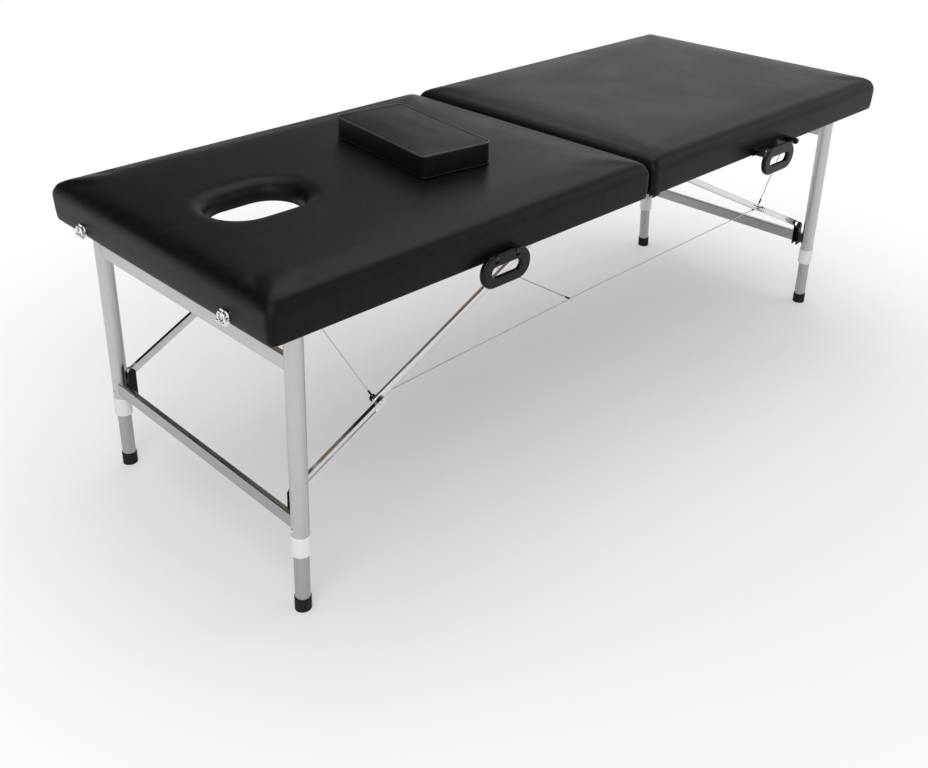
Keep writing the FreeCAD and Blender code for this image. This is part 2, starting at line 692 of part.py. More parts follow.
def build_half_fittings(half):
    """Hinge leaves, leg brackets, stay anchors and their pins on one half."""
    rows = list(enumerate(HINGE_ROWS, start=1))
    leaves = [hinge_leaf(half, row, middle) for row, middle in rows]
    node(f"{half.name}_hinge_leaves", group(f"{half.name}_leaf_set", *leaves))
    pins = [hinge_pin(row, middle) for row, middle in rows] if half is HEAD else []
    leg_gap = "(2 * leg_radius + 2 * bracket_gap)"
    stay_gap = "(stay_thickness + 2 * stay_clearance)"
    brackets = []
    anchors = []
    for end, sign in ENDS:
        leg_x = f"({half.side} * {LEG_PLACE})"
        leg_y = f"({sign} * {half.spread})"
        brackets.append(
            clevis(f"{half.name}_{end}_leg_bracket", leg_x, leg_y, BOARD_UNDER, "leg_pivot_drop", leg_gap,
                   "bracket_length", "cheek_round", "leg_pin_radius")
        )
        pins.append(
            headed_pin(f"{half.name}_{end}_leg_pin", leg_x, leg_y, LEG_LEVEL,
                       f"{leg_gap} + 2 * bracket_sheet", "leg_pin_radius")
        )
        stay_x = f"({half.side} * stay_anchor_place)"
        stay_y = stay_middle(half, sign, "upper")
        anchors.append(
            clevis(f"{half.name}_{end}_stay_anchor", stay_x, stay_y, BOARD_UNDER,
                   "leg_pivot_drop - stay_offset", stay_gap, "anchor_length", "stay_width / 2",
                   "stay_pin_radius")
        )
        pins.append(
            headed_pin(f"{half.name}_{end}_stay_pin", stay_x, stay_y, STAY_LEVEL,
                       f"{stay_gap} + 2 * bracket_sheet", "stay_pin_radius")
        )
    node(f"{half.name}_leg_brackets", group(f"{half.name}_leg_bracket_set", *brackets))
    node(f"{half.name}_stay_anchors", group(f"{half.name}_stay_anchor_set", *anchors))
    node(f"{half.name}_pivot_pins", group(f"{half.name}_pin_set", *pins))


def stand(half, item, y):
    """Hang a leg piece from its pivot with the outward lean of the legs."""
    turn(item, FreeCAD.Vector(0, -half.side, 0), "leg_splay")
    return place(item, f"{half.side} * {LEG_PLACE}", y, LEG_LEVEL)


def leg_tube(half, end, sign):
    """Outer leg tube with its pivot hole and the hole of the height button."""
    name = f"{half.name}_leg_{end}"
    length = "collar_place + collar_grip"
    outside = rod(f"{name}_outside", "leg_radius", f"{length} + leg_top", (0, 0, f"-({length})"))
    inside = rod(
        f"{name}_inside", "leg_radius - leg_wall", f"{length} + leg_top + 2", (0, 0, f"-({length}) - 1")
    )
    pivot = rod(
        f"{name}_pivot",
        "leg_pin_radius + running_clearance",
        "2 * leg_radius + 2",
        (0, "-leg_radius - 1", 0),
        "y",
    )
    low, reach = along(half, "0", "leg_radius + 1")
    button_hole = rod(
        f"{name}_button_hole", "button_radius + button_clearance", reach, (low, 0, "-button_place"), "x"
    )
    tube = cut(f"{name}_tube", outside, inside, pivot, button_hole)
    node(name, stand(half, tube, f"{sign} * {half.spread}"))


def inner_leg(half, end, sign):
    """Sliding inner leg with its row of height holes, and its rubber tip."""
    name = f"{half.name}_inner_leg_{end}"
    bottom = f"(-{LEG_REACH} + tip_floor)"
    outside = rod(f"{name}_outside", INNER_RADIUS, "inner_leg_length", (0, 0, bottom))
    inside = rod(
        f"{name}_inside", f"{INNER_RADIUS} - inner_leg_wall", "inner_leg_length + 2", (0, 0, f"{bottom} - 1")
    )
    low, reach = along(half, "0", f"{INNER_RADIUS} + 1")
    holes = []
    for step in range(int(number("leg_travel / height_step")) + 1):
        holes.append(
            rod(
                f"{name}_hole_{step}",
                "button_radius + 2 * button_clearance",
                reach,
                (low, 0, f"-button_place + {step} * height_step"),
                "x",
            )
        )
    tube = cut(f"{name}_tube", outside, inside, *holes)
    leg_y = f"{sign} * {half.spread}"
    node(name, stand(half, tube, leg_y))
    rubber = turned(
        f"{half.name}_tip_{end}_form",
        (
            ("0", f"-{LEG_REACH} - {TIP_RADIUS}"),
            (TIP_RADIUS, f"-{LEG_REACH} - {TIP_RADIUS}"),
            (TIP_RADIUS, f"-{LEG_REACH} + tip_height"),
            (INNER_RADIUS, f"-{LEG_REACH} + tip_height"),
            (INNER_RADIUS, f"-{LEG_REACH} + tip_floor"),
            ("0", f"-{LEG_REACH} + tip_floor"),
        ),
    )
    stand(half, rubber, leg_y)
    low, reach = along(half, f"{LEG_PLACE} - top_height", f"{LEG_PLACE} + top_height")
    below = box(
        f"{half.name}_tip_{end}_floor",
        (low, f"{leg_y} - 2 * {TIP_RADIUS}", f"-4 * {TIP_RADIUS}"),
        (reach, f"4 * {TIP_RADIUS}", f"4 * {TIP_RADIUS}"),
    )
    node(f"{half.name}_tip_{end}", cut(f"{half.name}_tip_{end}_cut", rubber, below))


def collar(half, end, sign):
    """Plastic collar on the lower end of a leg tube, which guides the inner leg."""
    top = "-collar_place"
    bottom = f"({top} - collar_height)"
    seat = f"({top} - collar_grip)"
    body = turned(
        f"{half.name}_{end}_collar",
        (
            ("leg_radius", top),
            (f"{COLLAR_RADIUS} - collar_chamfer", top),
            (COLLAR_RADIUS, f"{top} - collar_chamfer"),
            (COLLAR_RADIUS, f"{bottom} + collar_chamfer"),
            (f"{COLLAR_RADIUS} - collar_chamfer", bottom),
            (f"{INNER_RADIUS} + running_clearance", bottom),
            (f"{INNER_RADIUS} + running_clearance", seat),
            ("leg_radius", seat),
        ),
    )
    return stand(half, body, f"{sign} * {half.spread}")


def height_button(half, end, sign):
    """Press button in the wall of a leg tube."""
    low, length = along(half, f"{INNER_RADIUS} + button_gap", "leg_radius + button_proud")
    button = rod(f"{half.name}_button_{end}_pin", "button_radius", length, (low, 0, "-button_place"), "x")
    holder = group(f"{half.name}_button_{end}_set", button)
    node(f"{half.name}_button_{end}", stand(half, holder, f"{sign} * {half.spread}"))


def crossbar(half, title, place_down):
    """Crossbar between the two legs of a frame, coped to the round tubes."""
    name = f"{half.name}_{title}_bar"
    low, depth = along(half, "bar_offset - bar_depth / 2", "bar_offset + bar_depth / 2")
    blank = box(
        f"{name}_blank",
        (low, f"-{half.spread}", f"-{place_down} - bar_height / 2"),
        (depth, f"2 * {half.spread}", "bar_height"),
    )
    rounded = softened(f"{name}_rounded", blank, "bar_round", FreeCAD.Vector(0, 1, 0))
    copes = []
    for end, sign in ENDS:
        start = (0, f"{sign} * {half.spread}", f"-{place_down} - bar_height")
        copes.append(rod(f"{name}_{end}_cope", "leg_radius", "2 * bar_height", start))
    node(name, stand(half, cut(f"{name}_cut", rounded, *copes), 0))


def stay_bracket(half, end, sign):
    """Bracket on the lower crossbar that holds the lower end of a stay."""
    name = f"{half.name}_{end}_stay_bracket"
    middle = stay_middle(half, sign, "lower")
    gap = "(stay_thickness + 2 * stay_clearance)"
    width = f"({gap} + 2 * bracket_sheet)"
    face = "(bar_depth / 2 - bar_offset)"
    foot = "(lower_bar_place + bar_height / 2)"
    plate_top = "(lower_bar_place - bar_height)"
    low, depth = along(half, f"-({face} + bracket_sheet)", f"-{face}")
    pieces = [
        box(f"{name}_plate", (low, f"{middle} - {width} / 2", f"-{foot}"),
            (depth, width, f"{foot} - {plate_top}"))
    ]
    cheek_far = "(stay_offset + stay_width / 2)"
    for title, start in (("inner", f"{middle} - {width} / 2"), ("outer", f"{middle} + {gap} / 2")):
        low, depth = along(half, f"-{cheek_far}", f"-{face}")
        pieces.append(
            box(f"{name}_{title}", (low, start, f"-{foot}"),
                (depth, "bracket_sheet", f"{foot} - stay_bracket_place"))
        )
        pieces.append(
            rod(f"{name}_{title}_round", "stay_width / 2", "bracket_sheet",
                (f"{-half.side} * stay_offset", start, "-stay_bracket_place"), "y")
        )
    bore = rod(f"{name}_bore", "stay_pin_radius", f"{width} + 2",
               (f"{-half.side} * stay_offset", f"{middle} - {width} / 2 - 1", "-stay_bracket_place"), "y")
    bracket = cut(f"{name}_cut", fuse(f"{name}_solid", *pieces), bore)
    shank = rod(f"{name}_shank", "stay_pin_radius", width,
                (f"{-half.side} * stay_offset", f"{middle} - {width} / 2", "-stay_bracket_place"), "y")
    head_start = f"{middle} + {width} / 2" if sign > 0 else f"{middle} - {width} / 2 - pin_head"
    head = rod(f"{name}_head", "stay_pin_radius + pin_head_rim", "pin_head",
               (f"{-half.side} * stay_offset", head_start, "-stay_bracket_place"), "y")
    return bracket, fuse(f"{name}_pin", shank, head)


def build_leg_frame(half):
    """The two legs of one half with their bars, collars, brackets, buttons and inner legs."""
    for end, sign in ENDS:
        leg_tube(half, end, sign)
        inner_leg(half, end, sign)
        height_button(half, end, sign)
    crossbar(half, "upper", "upper_bar_place")
    crossbar(half, "lower", "lower_bar_place")
    collars = [collar(half, end, sign) for end, sign in ENDS]
    node(f"{half.name}_collars", group(f"{half.name}_collar_set", *collars))
    brackets = [piece for end, sign in ENDS for piece in stay_bracket(half, end, sign)]
    node(f"{half.name}_stay_brackets", stand(half, group(f"{half.name}_stay_bracket_set", *brackets), 0))


def stay_bar(name, facing, length, past, groove_side):
    """Flat stay along X from its pivot, with round ends and a channel rolled into one face."""
    run = f"({length} + {past})"
    low = "0" if facing > 0 else f"-{run}"
    half_width = "(stay_width / 2)"
    start = "-stay_thickness / 2"
    blank = fuse(
        f"{name}_blank",
        box(f"{name}_flat", (low, start, f"-{half_width}"), (run, "stay_thickness", "stay_width")),
        rod(f"{name}_near_end", half_width, "stay_thickness", (0, start, 0), "y"),
        rod(f"{name}_far_end", half_width, "stay_thickness", (f"{facing} * {run}", start, 0), "y"),
    )
    channel_low = "stay_width" if facing > 0 else f"-({length} - stay_width)"
    channel_start = (
        "stay_thickness / 2 - stay_channel_depth" if groove_side > 0 else "-stay_thickness / 2 - 1"
    )
    channel = box(
        f"{name}_channel",
        (channel_low, channel_start, "-stay_channel / 2"),
        (f"{length} - 2 * stay_width", "stay_channel_depth + 1", "stay_channel"),
    )
    bore = rod(
        f"{name}_bore",
        "stay_pin_radius + running_clearance",
        "stay_thickness + 2",
        (0, f"{start} - 1", 0),
        "y",
    )
    return cut(f"{name}_bar", blank, channel, bore)


def build_stays(half):
    """Upper and lower stays of one half; each pair folds at its elbow."""
    lean = FreeCAD.Vector(0, half.side, 0)
    for end, sign in ENDS:
        name = f"{half.name}_upper_stay_{end}"
        bar = stay_bar(name, half.side, UPPER_STAY, "0", -sign)
        elbow = f"{half.side} * {UPPER_STAY}"
        inner_face = "-stay_thickness / 2 - rivet_height" if sign > 0 else "stay_thickness / 2"
        rivet = rod(f"{name}_rivet", "rivet_radius", "rivet_height", (elbow, inner_face, 0), "y")
        stay = turn(fuse(f"{name}_solid", bar, rivet), lean, STAY_SLOPE)
        place(stay, f"{half.side} * stay_anchor_place", stay_middle(half, sign, "upper"), STAY_LEVEL)
        node(name, stay)

        name = f"{half.name}_lower_stay_{end}"
        bar = stay_bar(name, -half.side, LOWER_STAY, "stay_overlap - stay_width / 2", sign)
        elbow = f"{-half.side} * {LOWER_STAY}"
        outer_face = "stay_thickness / 2" if sign > 0 else "-stay_thickness / 2 - rivet_height"
        rivet = rod(f"{name}_rivet", "rivet_radius", "rivet_height", (elbow, outer_face, 0), "y")
        boss_length = "(bracket_sheet + stay_clearance)"
        inner_face = f"-stay_thickness / 2 - {boss_length}" if sign > 0 else "stay_thickness / 2"
        boss = rod(f"{name}_boss", "rivet_radius", boss_length, (elbow, inner_face, 0), "y")
        stay = turn(fuse(f"{name}_solid", bar, rivet, boss), lean, STAY_SLOPE)
        place(stay, f"{half.side} * {BRACKET_PLACE}", stay_middle(half, sign, "lower"), BRACKET_LEVEL)
        node(name, stay)


FRONT_FACE = "-(table_width / 2)"
HANDLE_LEVEL = f"({RIM} + handle_pivot_lift)"
HANDLE_TOP = f"({HANDLE_LEVEL} + handle_thickness / 2)"
HANDLE_FOOT = f"({HANDLE_TOP} - handle_height)"


def handle_depth(half):
    """Place of a handle's axis across the table."""
    return f"({FRONT_FACE} - handle_base_thickness - {half.stand_off})"


def handle_pin_span(half):
    """Nearest and farthest reach of a handle pin from the middle of the handle."""
    if half is HEAD:
        pin_half = "(handle_lug / 2 + handle_pin_depth)"
        return f"({half.reach} - {pin_half})", f"({half.reach} + {pin_half})"
    return "(handle_width / 2 - handle_height / 2)", half.reach


def build_handle(half):
    """Handle base with two lugs and their pins."""
    middle = f"({half.side} * handle_place)"
    axis_depth = handle_depth(half)
    base_half = f"({half.reach} + handle_lug)"
    name = f"{half.name}_handle"
    outline = rounded_outline(
        f"{name}_base_outline",
        (f"{middle} - {base_half}", f"{RIM} + handle_base_lift"),
        (f"{middle} + {base_half}", f"{RIM} + handle_base_lift + handle_base_height"),
        "handle_base_round",
        (0, FRONT_FACE, 0),
        "upright",
    )
    towards = FreeCAD.Vector(0, -1, 0)
    pieces = [prism(f"{name}_plate", outline, towards, "handle_base_thickness")]
    for title, sign in (("left", -1), ("right", 1)):
        start, width = across(sign, f"{half.reach} - handle_lug / 2", f"{half.reach} + handle_lug / 2")
        lug_front = f"{axis_depth} - handle_thickness / 2"
        lug = box(
            f"{name}_{title}_lug_blank",
            (f"{middle} + {start}", lug_front, f"{HANDLE_LEVEL} - handle_thickness / 2"),
            (width, f"{half.stand_off} + handle_thickness / 2 + 1", "handle_thickness"),
        )
        pieces.append(softened(f"{name}_{title}_lug", lug, "handle_lug / 8", FreeCAD.Vector(1, 0, 0)))
        start, length = across(sign, *handle_pin_span(half))
        pin_start = (f"{middle} + {start}", axis_depth, HANDLE_LEVEL)
        pieces.append(rod(f"{name}_{title}_pin", "handle_pin_radius", length, pin_start, "x"))
    node(f"{name}_base", fuse(f"{name}_base_solid", *pieces))
    node(f"{name}_loop", handle_ring(half, middle, axis_depth))


def handle_ring(half, middle, axis_depth):
    """Thick oval ring that hangs from the handle pins."""
    name = f"{half.name}_handle_ring"
    front = f"({axis_depth} - handle_thickness / 2)"
    back = f"({axis_depth} + handle_thickness / 2)"
    opening_low = f"({HANDLE_FOOT} + handle_band)"
    outlines = []
    spans = (
        ("outer", "handle_width / 2", HANDLE_FOOT, HANDLE_TOP, "(handle_height / 2 - 0.5)"),
        ("opening", "handle_opening_width / 2", opening_low, f"({opening_low} + handle_opening_height)",
         "(handle_opening_height / 2 - 0.5)"),
    )
    for title, reach, low, high, bend in spans:
        outline = rounded_outline(
            f"{name}_{title}_outline",
            (f"{middle} - {reach}", low),
            (f"{middle} + {reach}", high),
            bend,
            (0, back, 0),
            "upright",
        )
        outlines.append(prism(f"{name}_{title}", outline, FreeCAD.Vector(0, -1, 0), "handle_thickness"))
    ring = eased(f"{name}_eased", cut(f"{name}_blank", *outlines), "handle_ease", FreeCAD.Vector(0, 1, 0))
    cutters = []
    for title, sign in (("left", -1), ("right", 1)):
        near, far = handle_pin_span(half)
        start, length = across(sign, f"{near} - handle_side_gap", f"{far} + handle_side_gap")
        bore_start = (f"{middle} + {start}", axis_depth, HANDLE_LEVEL)
        cutters.append(
            rod(f"{name}_{title}_bore", "handle_pin_radius + running_clearance", length, bore_start, "x")
        )
        if half is HEAD:
            notch_half = "(handle_lug / 2 + handle_side_gap)"
            start, width = across(sign, f"{half.reach} - {notch_half}", f"{half.reach} + {notch_half}")
            cutters.append(
                box(f"{name}_{title}_notch",
                    (f"{middle} + {start}", f"{front} - 1", f"{HANDLE_LEVEL} - 0.75 * handle_thickness"),
                    (width, "handle_thickness + 2", "1.5 * handle_thickness"))
            )
    return cut(f"{name}_solid", ring, *cutters)


def bent_loop(name, arm_reach, arm_drop, bend_radius, thickness):
    """Round bar in the XZ plane that runs down one arm, across the bottom and up the other."""
    body = doc.addObject("PartDesign::Body", f"{name}_body")
    planes = {item.Role: item for item in body.Origin.OriginFeatures}
    reach, drop, bend = number(arm_reach), number(arm_drop), number(bend_radius)
    spine = body.newObject("Sketcher::SketchObject", f"{name}_spine")
    spine.AttachmentSupport = [(planes["XZ_Plane"], "")]
    spine.MapMode = "FlatFace"
    vector = FreeCAD.Vector
    up = vector(0, 0, 1)
    left_bend = Part.Circle(vector(bend - reach, bend - drop, 0), up, bend)
    right_bend = Part.Circle(vector(reach - bend, bend - drop, 0), up, bend)
    runs = (
        Part.LineSegment(vector(-reach, 0, 0), vector(-reach, bend - drop, 0)),
        Part.ArcOfCircle(left_bend, math.pi, 1.5 * math.pi),
        Part.LineSegment(vector(bend - reach, -drop, 0), vector(reach - bend, -drop, 0)),
        Part.ArcOfCircle(right_bend, 1.5 * math.pi, 2 * math.pi),
        Part.LineSegment(vector(reach, bend - drop, 0), vector(reach, 0, 0)),
    )
    for run in runs:
        spine.addGeometry(run)
    for index in range(len(runs) - 1):
        spine.addConstraint(Sketcher.Constraint("Tangent", index, 2, index + 1, 1))
    spine.addConstraint(Sketcher.Constraint("Vertical", 0))
    spine.addConstraint(Sketcher.Constraint("Horizontal", 2))
    spine.addConstraint(Sketcher.Constraint("Vertical", 4))
    spine.addConstraint(Sketcher.Constraint("Equal", 1, 3))
    spine.addConstraint(Sketcher.Constraint("PointOnObject", 0, 1, -1))
    spine.addConstraint(Sketcher.Constraint("PointOnObject", 4, 2, -1))
    limits = (
        ("left", Sketcher.Constraint("DistanceX", -1, 1, 0, 1, -reach), f"-{arm_reach}"),
        ("right", Sketcher.Constraint("DistanceX", -1, 1, 4, 2, reach), arm_reach),
        ("drop", Sketcher.Constraint("DistanceY", -1, 1, 2, 1, -drop), f"-{arm_drop}"),
        ("bend", Sketcher.Constraint("Radius", 1, bend), bend_radius),
    )
    for title, constraint, formula in limits:
        spine.renameConstraint(spine.addConstraint(constraint), title)
        spine.setExpression(f"Constraints.{title}", tied(formula))
    section = body.newObject("Sketcher::SketchObject", f"{name}_section")
    section.AttachmentSupport = [(planes["XY_Plane"], "")]
    section.MapMode = "FlatFace"
    section.addGeometry(Part.Circle(vector(-reach, 0, 0), up, number(thickness)))
    section.addConstraint(Sketcher.Constraint("PointOnObject", 0, 3, -1))
    centre = section.addConstraint(Sketcher.Constraint("DistanceX", -1, 1, 0, 3, -reach))
    section.renameConstraint(centre, "centre")
    section.setExpression("Constraints.centre", tied(f"-{arm_reach}"))
    size = section.addConstraint(Sketcher.Constraint("Radius", 0, number(thickness)))
    section.renameConstraint(size, "thickness")
    section.setExpression("Constraints.thickness", tied(thickness))
    doc.recompute()
    grip = body.newObject("PartDesign::AdditivePipe", f"{name}_pipe")
    grip.Profile = section
    grip.Spine = (spine, [f"Edge{index + 1}" for index in range(len(runs))])
    return body


LATCH_LEVEL = f"({RIM} + latch_pivot_lift)"
LATCH_DEPTH = "(half_length + latch_sheet + latch_stand_off)"
# A closed loop reaches past the rims and the hinge line to the far side of the catch hook.
LATCH_DROP = (
    "(latch_pivot_lift + 2 * hinge_drop + hook_lift + hook_height + latch_wire + latch_rest)"
)


def build_latches():
    """Latch plates and loops on the head end."""
    half = HEAD
    axis_x = f"({half.side} * {LATCH_DEPTH})"
    plates = []
    for end, sign in ENDS:
        middle = f"({sign} * {LATCH_SPREAD})"
        name = f"{end}_latch"
        low, length = along(half, "half_length", "half_length + latch_sheet")
        plate = box(f"{name}_plate_blank", (low, f"{middle} - latch_width / 2", f"{RIM} + latch_lift"),
                    (length, "latch_width", "latch_height"))
        rounded = softened(f"{name}_plate_rounded", plate, "latch_width / 4", FreeCAD.Vector(1, 0, 0))
        lug_low, lug_length = along(half, "half_length + latch_sheet - 0.5", LATCH_DEPTH)
        lug_round = "(latch_pin_radius + 1.5)"
        lug = box(f"{name}_lug", (lug_low, f"{middle} - latch_lug / 2", f"{LATCH_LEVEL} - {lug_round}"),
                  (lug_length, "latch_lug", f"2 * {lug_round}"))
        lug_start = (axis_x, f"{middle} - latch_lug / 2", LATCH_LEVEL)
        nose = rod(f"{name}_lug_nose", lug_round, "latch_lug", lug_start, "y")
        pin_half = "(latch_reach + latch_wire + latch_eye_rim)"
        pin_start = (axis_x, f"{middle} - {pin_half}", LATCH_LEVEL)
        pin = rod(f"{name}_pin", "latch_pin_radius", f"2 * {pin_half}", pin_start, "y")
        plates.append(fuse(f"{name}_plate", rounded, lug, nose, pin))
        node(f"{end}_latch_loop", latch_loop(name, axis_x, middle))
    node("latch_plates", group("latch_plate_set", *plates))


def latch_loop(name, axis_x, middle):
    """Wire loop that stands up from a latch pin and swings down over the catch hook."""
    wire = bent_loop(f"{name}_wire", "latch_reach", LATCH_DROP, "latch_bend", "latch_wire")
    upended = FreeCAD.Rotation(FreeCAD.Vector(1, 0, 0), 180)
    wire.Placement = FreeCAD.Placement(FreeCAD.Vector(), FreeCAD.Rotation(UPWARDS, 90).multiply(upended))
    place(wire, axis_x, middle, LATCH_LEVEL)
    eye_half = "(latch_wire + latch_eye_rim)"
    pieces = [wire]
    bores = []
    for title, sign in (("left", -1), ("right", 1)):
        eye_start = f"{middle} + {sign} * latch_reach - {eye_half}"
        pieces.append(
            rod(f"{name}_{title}_eye", "latch_pin_radius + latch_wire", f"2 * {eye_half}",
                (axis_x, eye_start, LATCH_LEVEL), "y")
        )
        bores.append(
            rod(f"{name}_{title}_bore", "latch_pin_radius + running_clearance", f"2 * {eye_half} + 2",
                (axis_x, f"{eye_start} - 1", LATCH_LEVEL), "y")
        )
    return cut(f"{name}_loop_cut", fuse(f"{name}_loop_solid", *pieces), *bores)


def build_catches():
    """Catch plates with upturned hooks on the foot end."""
    half = FOOT
    catches = []
    hook_reach = f"({LATCH_DEPTH} + latch_wire + 2)"
    for end, sign in ENDS:
        middle = f"({sign} * {LATCH_SPREAD})"
        name = f"{end}_catch"
        low, length = along(half, "half_length", "half_length + latch_sheet")
        plate = box(f"{name}_plate_blank", (low, f"{middle} - latch_width / 2", f"{RIM} + latch_lift"),
                    (length, "latch_width", "latch_height"))
        rounded = softened(f"{name}_plate_rounded", plate, "latch_width / 4", FreeCAD.Vector(1, 0, 0))
        low, length = along(half, "half_length + latch_sheet - 0.5", f"{hook_reach} + latch_sheet")
        stem = box(f"{name}_stem", (low, f"{middle} - hook_width / 2", f"{RIM} + hook_lift"),
                   (length, "hook_width", "hook_height"))
        low, length = along(half, hook_reach, f"{hook_reach} + latch_sheet")
        lip = box(f"{name}_lip", (low, f"{middle} - hook_width / 2", f"{RIM} + hook_lift"),
                  (length, "hook_width", "hook_lip"))
        catches.append(fuse(f"{name}", rounded, stem, lip))
    node("latch_catches", group("latch_catch_set", *catches))


def screw_head(name, x, y, z, axis, sense):
    """Head of a screw that lies on a face, standing out along an axis."""
    start = [x, y, z]
    if sense < 0:
        index = "xyz".index(axis)
        start[index] = f"{start[index]} - screw_head"
    return rod(name, "screw_radius", "screw_head", start, axis)


def build_screws(half):
    """Screw heads on the handle lugs and on the latch or catch plates."""
    screws = []
    for title, sign in (("left", -1), ("right", 1)):
        x = f"{half.side} * handle_place + {sign} * {half.reach}"
        y = f"{handle_depth(half)} - handle_thickness / 2"
        screws.append(screw_head(f"{half.name}_handle_{title}_screw", x, y, HANDLE_LEVEL, "y", -1))
    plate_level = f"{RIM} + latch_lift + latch_height - screw_radius - 4"
    for end, sign in ENDS:
        x = f"{half.side} * (half_length + latch_sheet)"
        y = f"{sign} * {LATCH_SPREAD}"
        screws.append(screw_head(f"{half.name}_{end}_latch_screw", x, y, plate_level, "x", half.side))
    node(f"{half.name}_screws", group(f"{half.name}_screw_set", *screws))


def build_pillow():
    """Loose head pillow that lies on the head half."""
    layers = [("pillow_round * 0.6", "0", "pillow_corner - pillow_round * 0.6")]
    for angle in (30, 60, 90):
        inset = f"pillow_round * 0.6 * (1 - sin({angle}))"
        layers.append((inset, f"pillow_round * 0.6 * (1 - cos({angle}))", f"pillow_corner - {inset}"))
    shoulder = "pillow_height - pillow_crown - pillow_round"
    for angle in (0, 30, 60, 85):
        inset = f"pillow_round * (1 - cos({angle}))"
        layers.append((inset, f"{shoulder} + pillow_round * sin({angle})", f"pillow_corner - {inset}"))
    layers.append(("pillow_width / 5", "pillow_height - pillow_crown * 0.3", "pillow_corner"))
    layers.append(("pillow_width / 3", "pillow_height", "pillow_corner"))
    outlines = []
    for index, (inset, level, bend) in enumerate(layers):
        half_x = f"(pillow_width / 2 - ({inset}))"
        half_y = f"(pillow_length / 2 - ({inset}))"
        outlines.append(
            rounded_outline(f"pillow_layer_{index}", (f"-{half_x}", f"-{half_y}"), (half_x, half_y), bend,
                            (0, 0, level))
        )
    pillow = turn(loft("pillow_form", outlines), FreeCAD.Vector(0, 0, -1), "pillow_turn")
    node("head_pillow", place(pillow, "-pillow_place", "pillow_aside", "top_height + pillow_rest"))


def cable(name, start, end, radius):
    """Taut wire rope between two points."""
    run = end.sub(start)
    piece = doc.addObject("Part::Feature", name)
    piece.Shape = Part.makeCylinder(radius, run.Length, start, run)
    return piece


def cable_points(half, sign):
    """Ends of the cables on one side of one half: elbow, board and the hinge line."""
    side = number(f"{half.spread} - stay_side - {STAY_PITCH} - stay_thickness / 2 - cable_side")
    elbow = FreeCAD.Vector(half.side * number(ELBOW_PLACE), sign * side, number(ELBOW_LEVEL))
    board = FreeCAD.Vector(half.side * number(CABLE_PLACE), sign * side, number(BOARD_UNDER))
    return elbow, board


def build_cables():
    """Bracing cables: short ones to the boards, long ones along both sides and one across."""
    radius = number("cable_radius")
    pieces = {HEAD.name: [], FOOT.name: []}
    ties = []
    for end, sign in ENDS:
        elbows = {}
        for half in (HEAD, FOOT):
            elbow, board = cable_points(half, sign)
            elbows[half.name] = elbow
            pull = board.sub(elbow).normalize()
            name = f"{half.name}_{end}_short_cable"
            pieces[half.name].append(cable(name, elbow, board - pull * radius, radius))
        run = elbows["foot"].sub(elbows["head"])
        middle = elbows["head"] - run * (elbows["head"].x / run.x)
        for half in (HEAD, FOOT):
            name = f"{half.name}_{end}_long_cable"
            pieces[half.name].append(cable(name, elbows[half.name], middle, radius))
        tie_share = (-number("cable_tie_place") - elbows["head"].x) / run.x
        ties.append(elbows["head"] + run * tie_share)
    pieces["head"].append(cable("cross_cable", ties[0], ties[1], radius))
    front, back = pieces["foot"][:2], pieces["foot"][2:]
    web = group("foot_cable_web", fuse("foot_front_cables", *front), fuse("foot_back_cables", *back))
    node("head_cables", fuse("head_cable_web", *pieces["head"]))
    node("foot_cables", web)


for table_half in (HEAD, FOOT):
    build_half_top(table_half)
    build_half_fittings(table_half)
    build_leg_frame(table_half)
    build_stays(table_half)
    build_handle(table_half)
    build_screws(table_half)
build_latches()
build_catches()
build_pillow()
build_cables()
doc.recompute()

for item in doc.Objects:
    if "Invalid" in item.State or "Error" in item.State:
        raise RuntimeError(f"{item.Name} ({item.Label}) failed: {item.State}")
for label, item in nodes.items():
    if item.Shape.isNull() or not item.Shape.isValid() or not item.Shape.Solids:
        raise RuntimeError(f"{label} has no valid solid")

os.makedirs("parts", exist_ok=True)
for label, item in nodes.items():
    item.Shape.exportStep(os.path.join("parts", f"{label}.step"))
print(f"{len(nodes)} pieces, {sum(len(item.Shape.Solids) for item in nodes.values())} solids")
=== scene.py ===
"""Folding massage table: covers, pillow, cables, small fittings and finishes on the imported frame.

Lengths are in metres. X runs along the table with the head half at -X, the side with the carrying
handles faces -Y, and the floor is at Z 0.
"""

import math
from contextlib import contextmanager
from itertools import product

import bmesh
import bpy
from bpy.props import FloatProperty, FloatVectorProperty, IntProperty, PointerProperty
from mathutils import Matrix, Vector


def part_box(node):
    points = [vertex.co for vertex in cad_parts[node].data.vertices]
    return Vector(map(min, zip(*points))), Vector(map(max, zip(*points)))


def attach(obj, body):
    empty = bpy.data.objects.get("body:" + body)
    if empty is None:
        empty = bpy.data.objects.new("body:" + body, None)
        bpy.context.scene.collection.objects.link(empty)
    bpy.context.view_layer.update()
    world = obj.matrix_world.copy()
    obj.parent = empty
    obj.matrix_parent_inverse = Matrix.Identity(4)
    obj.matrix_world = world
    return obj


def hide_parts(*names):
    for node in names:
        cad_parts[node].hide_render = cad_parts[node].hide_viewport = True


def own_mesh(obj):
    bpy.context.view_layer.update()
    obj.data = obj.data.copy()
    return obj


bl_info = {
    "name": "Folding massage table",
    "version": (1, 0, 0),
    "blender": (4, 5, 0),
    "location": "View3D > Sidebar > Massage table",
    "description": "Covers, pillow, cables, small fittings, finishes and stage of a folding massage table",
    "category": "Object",
}

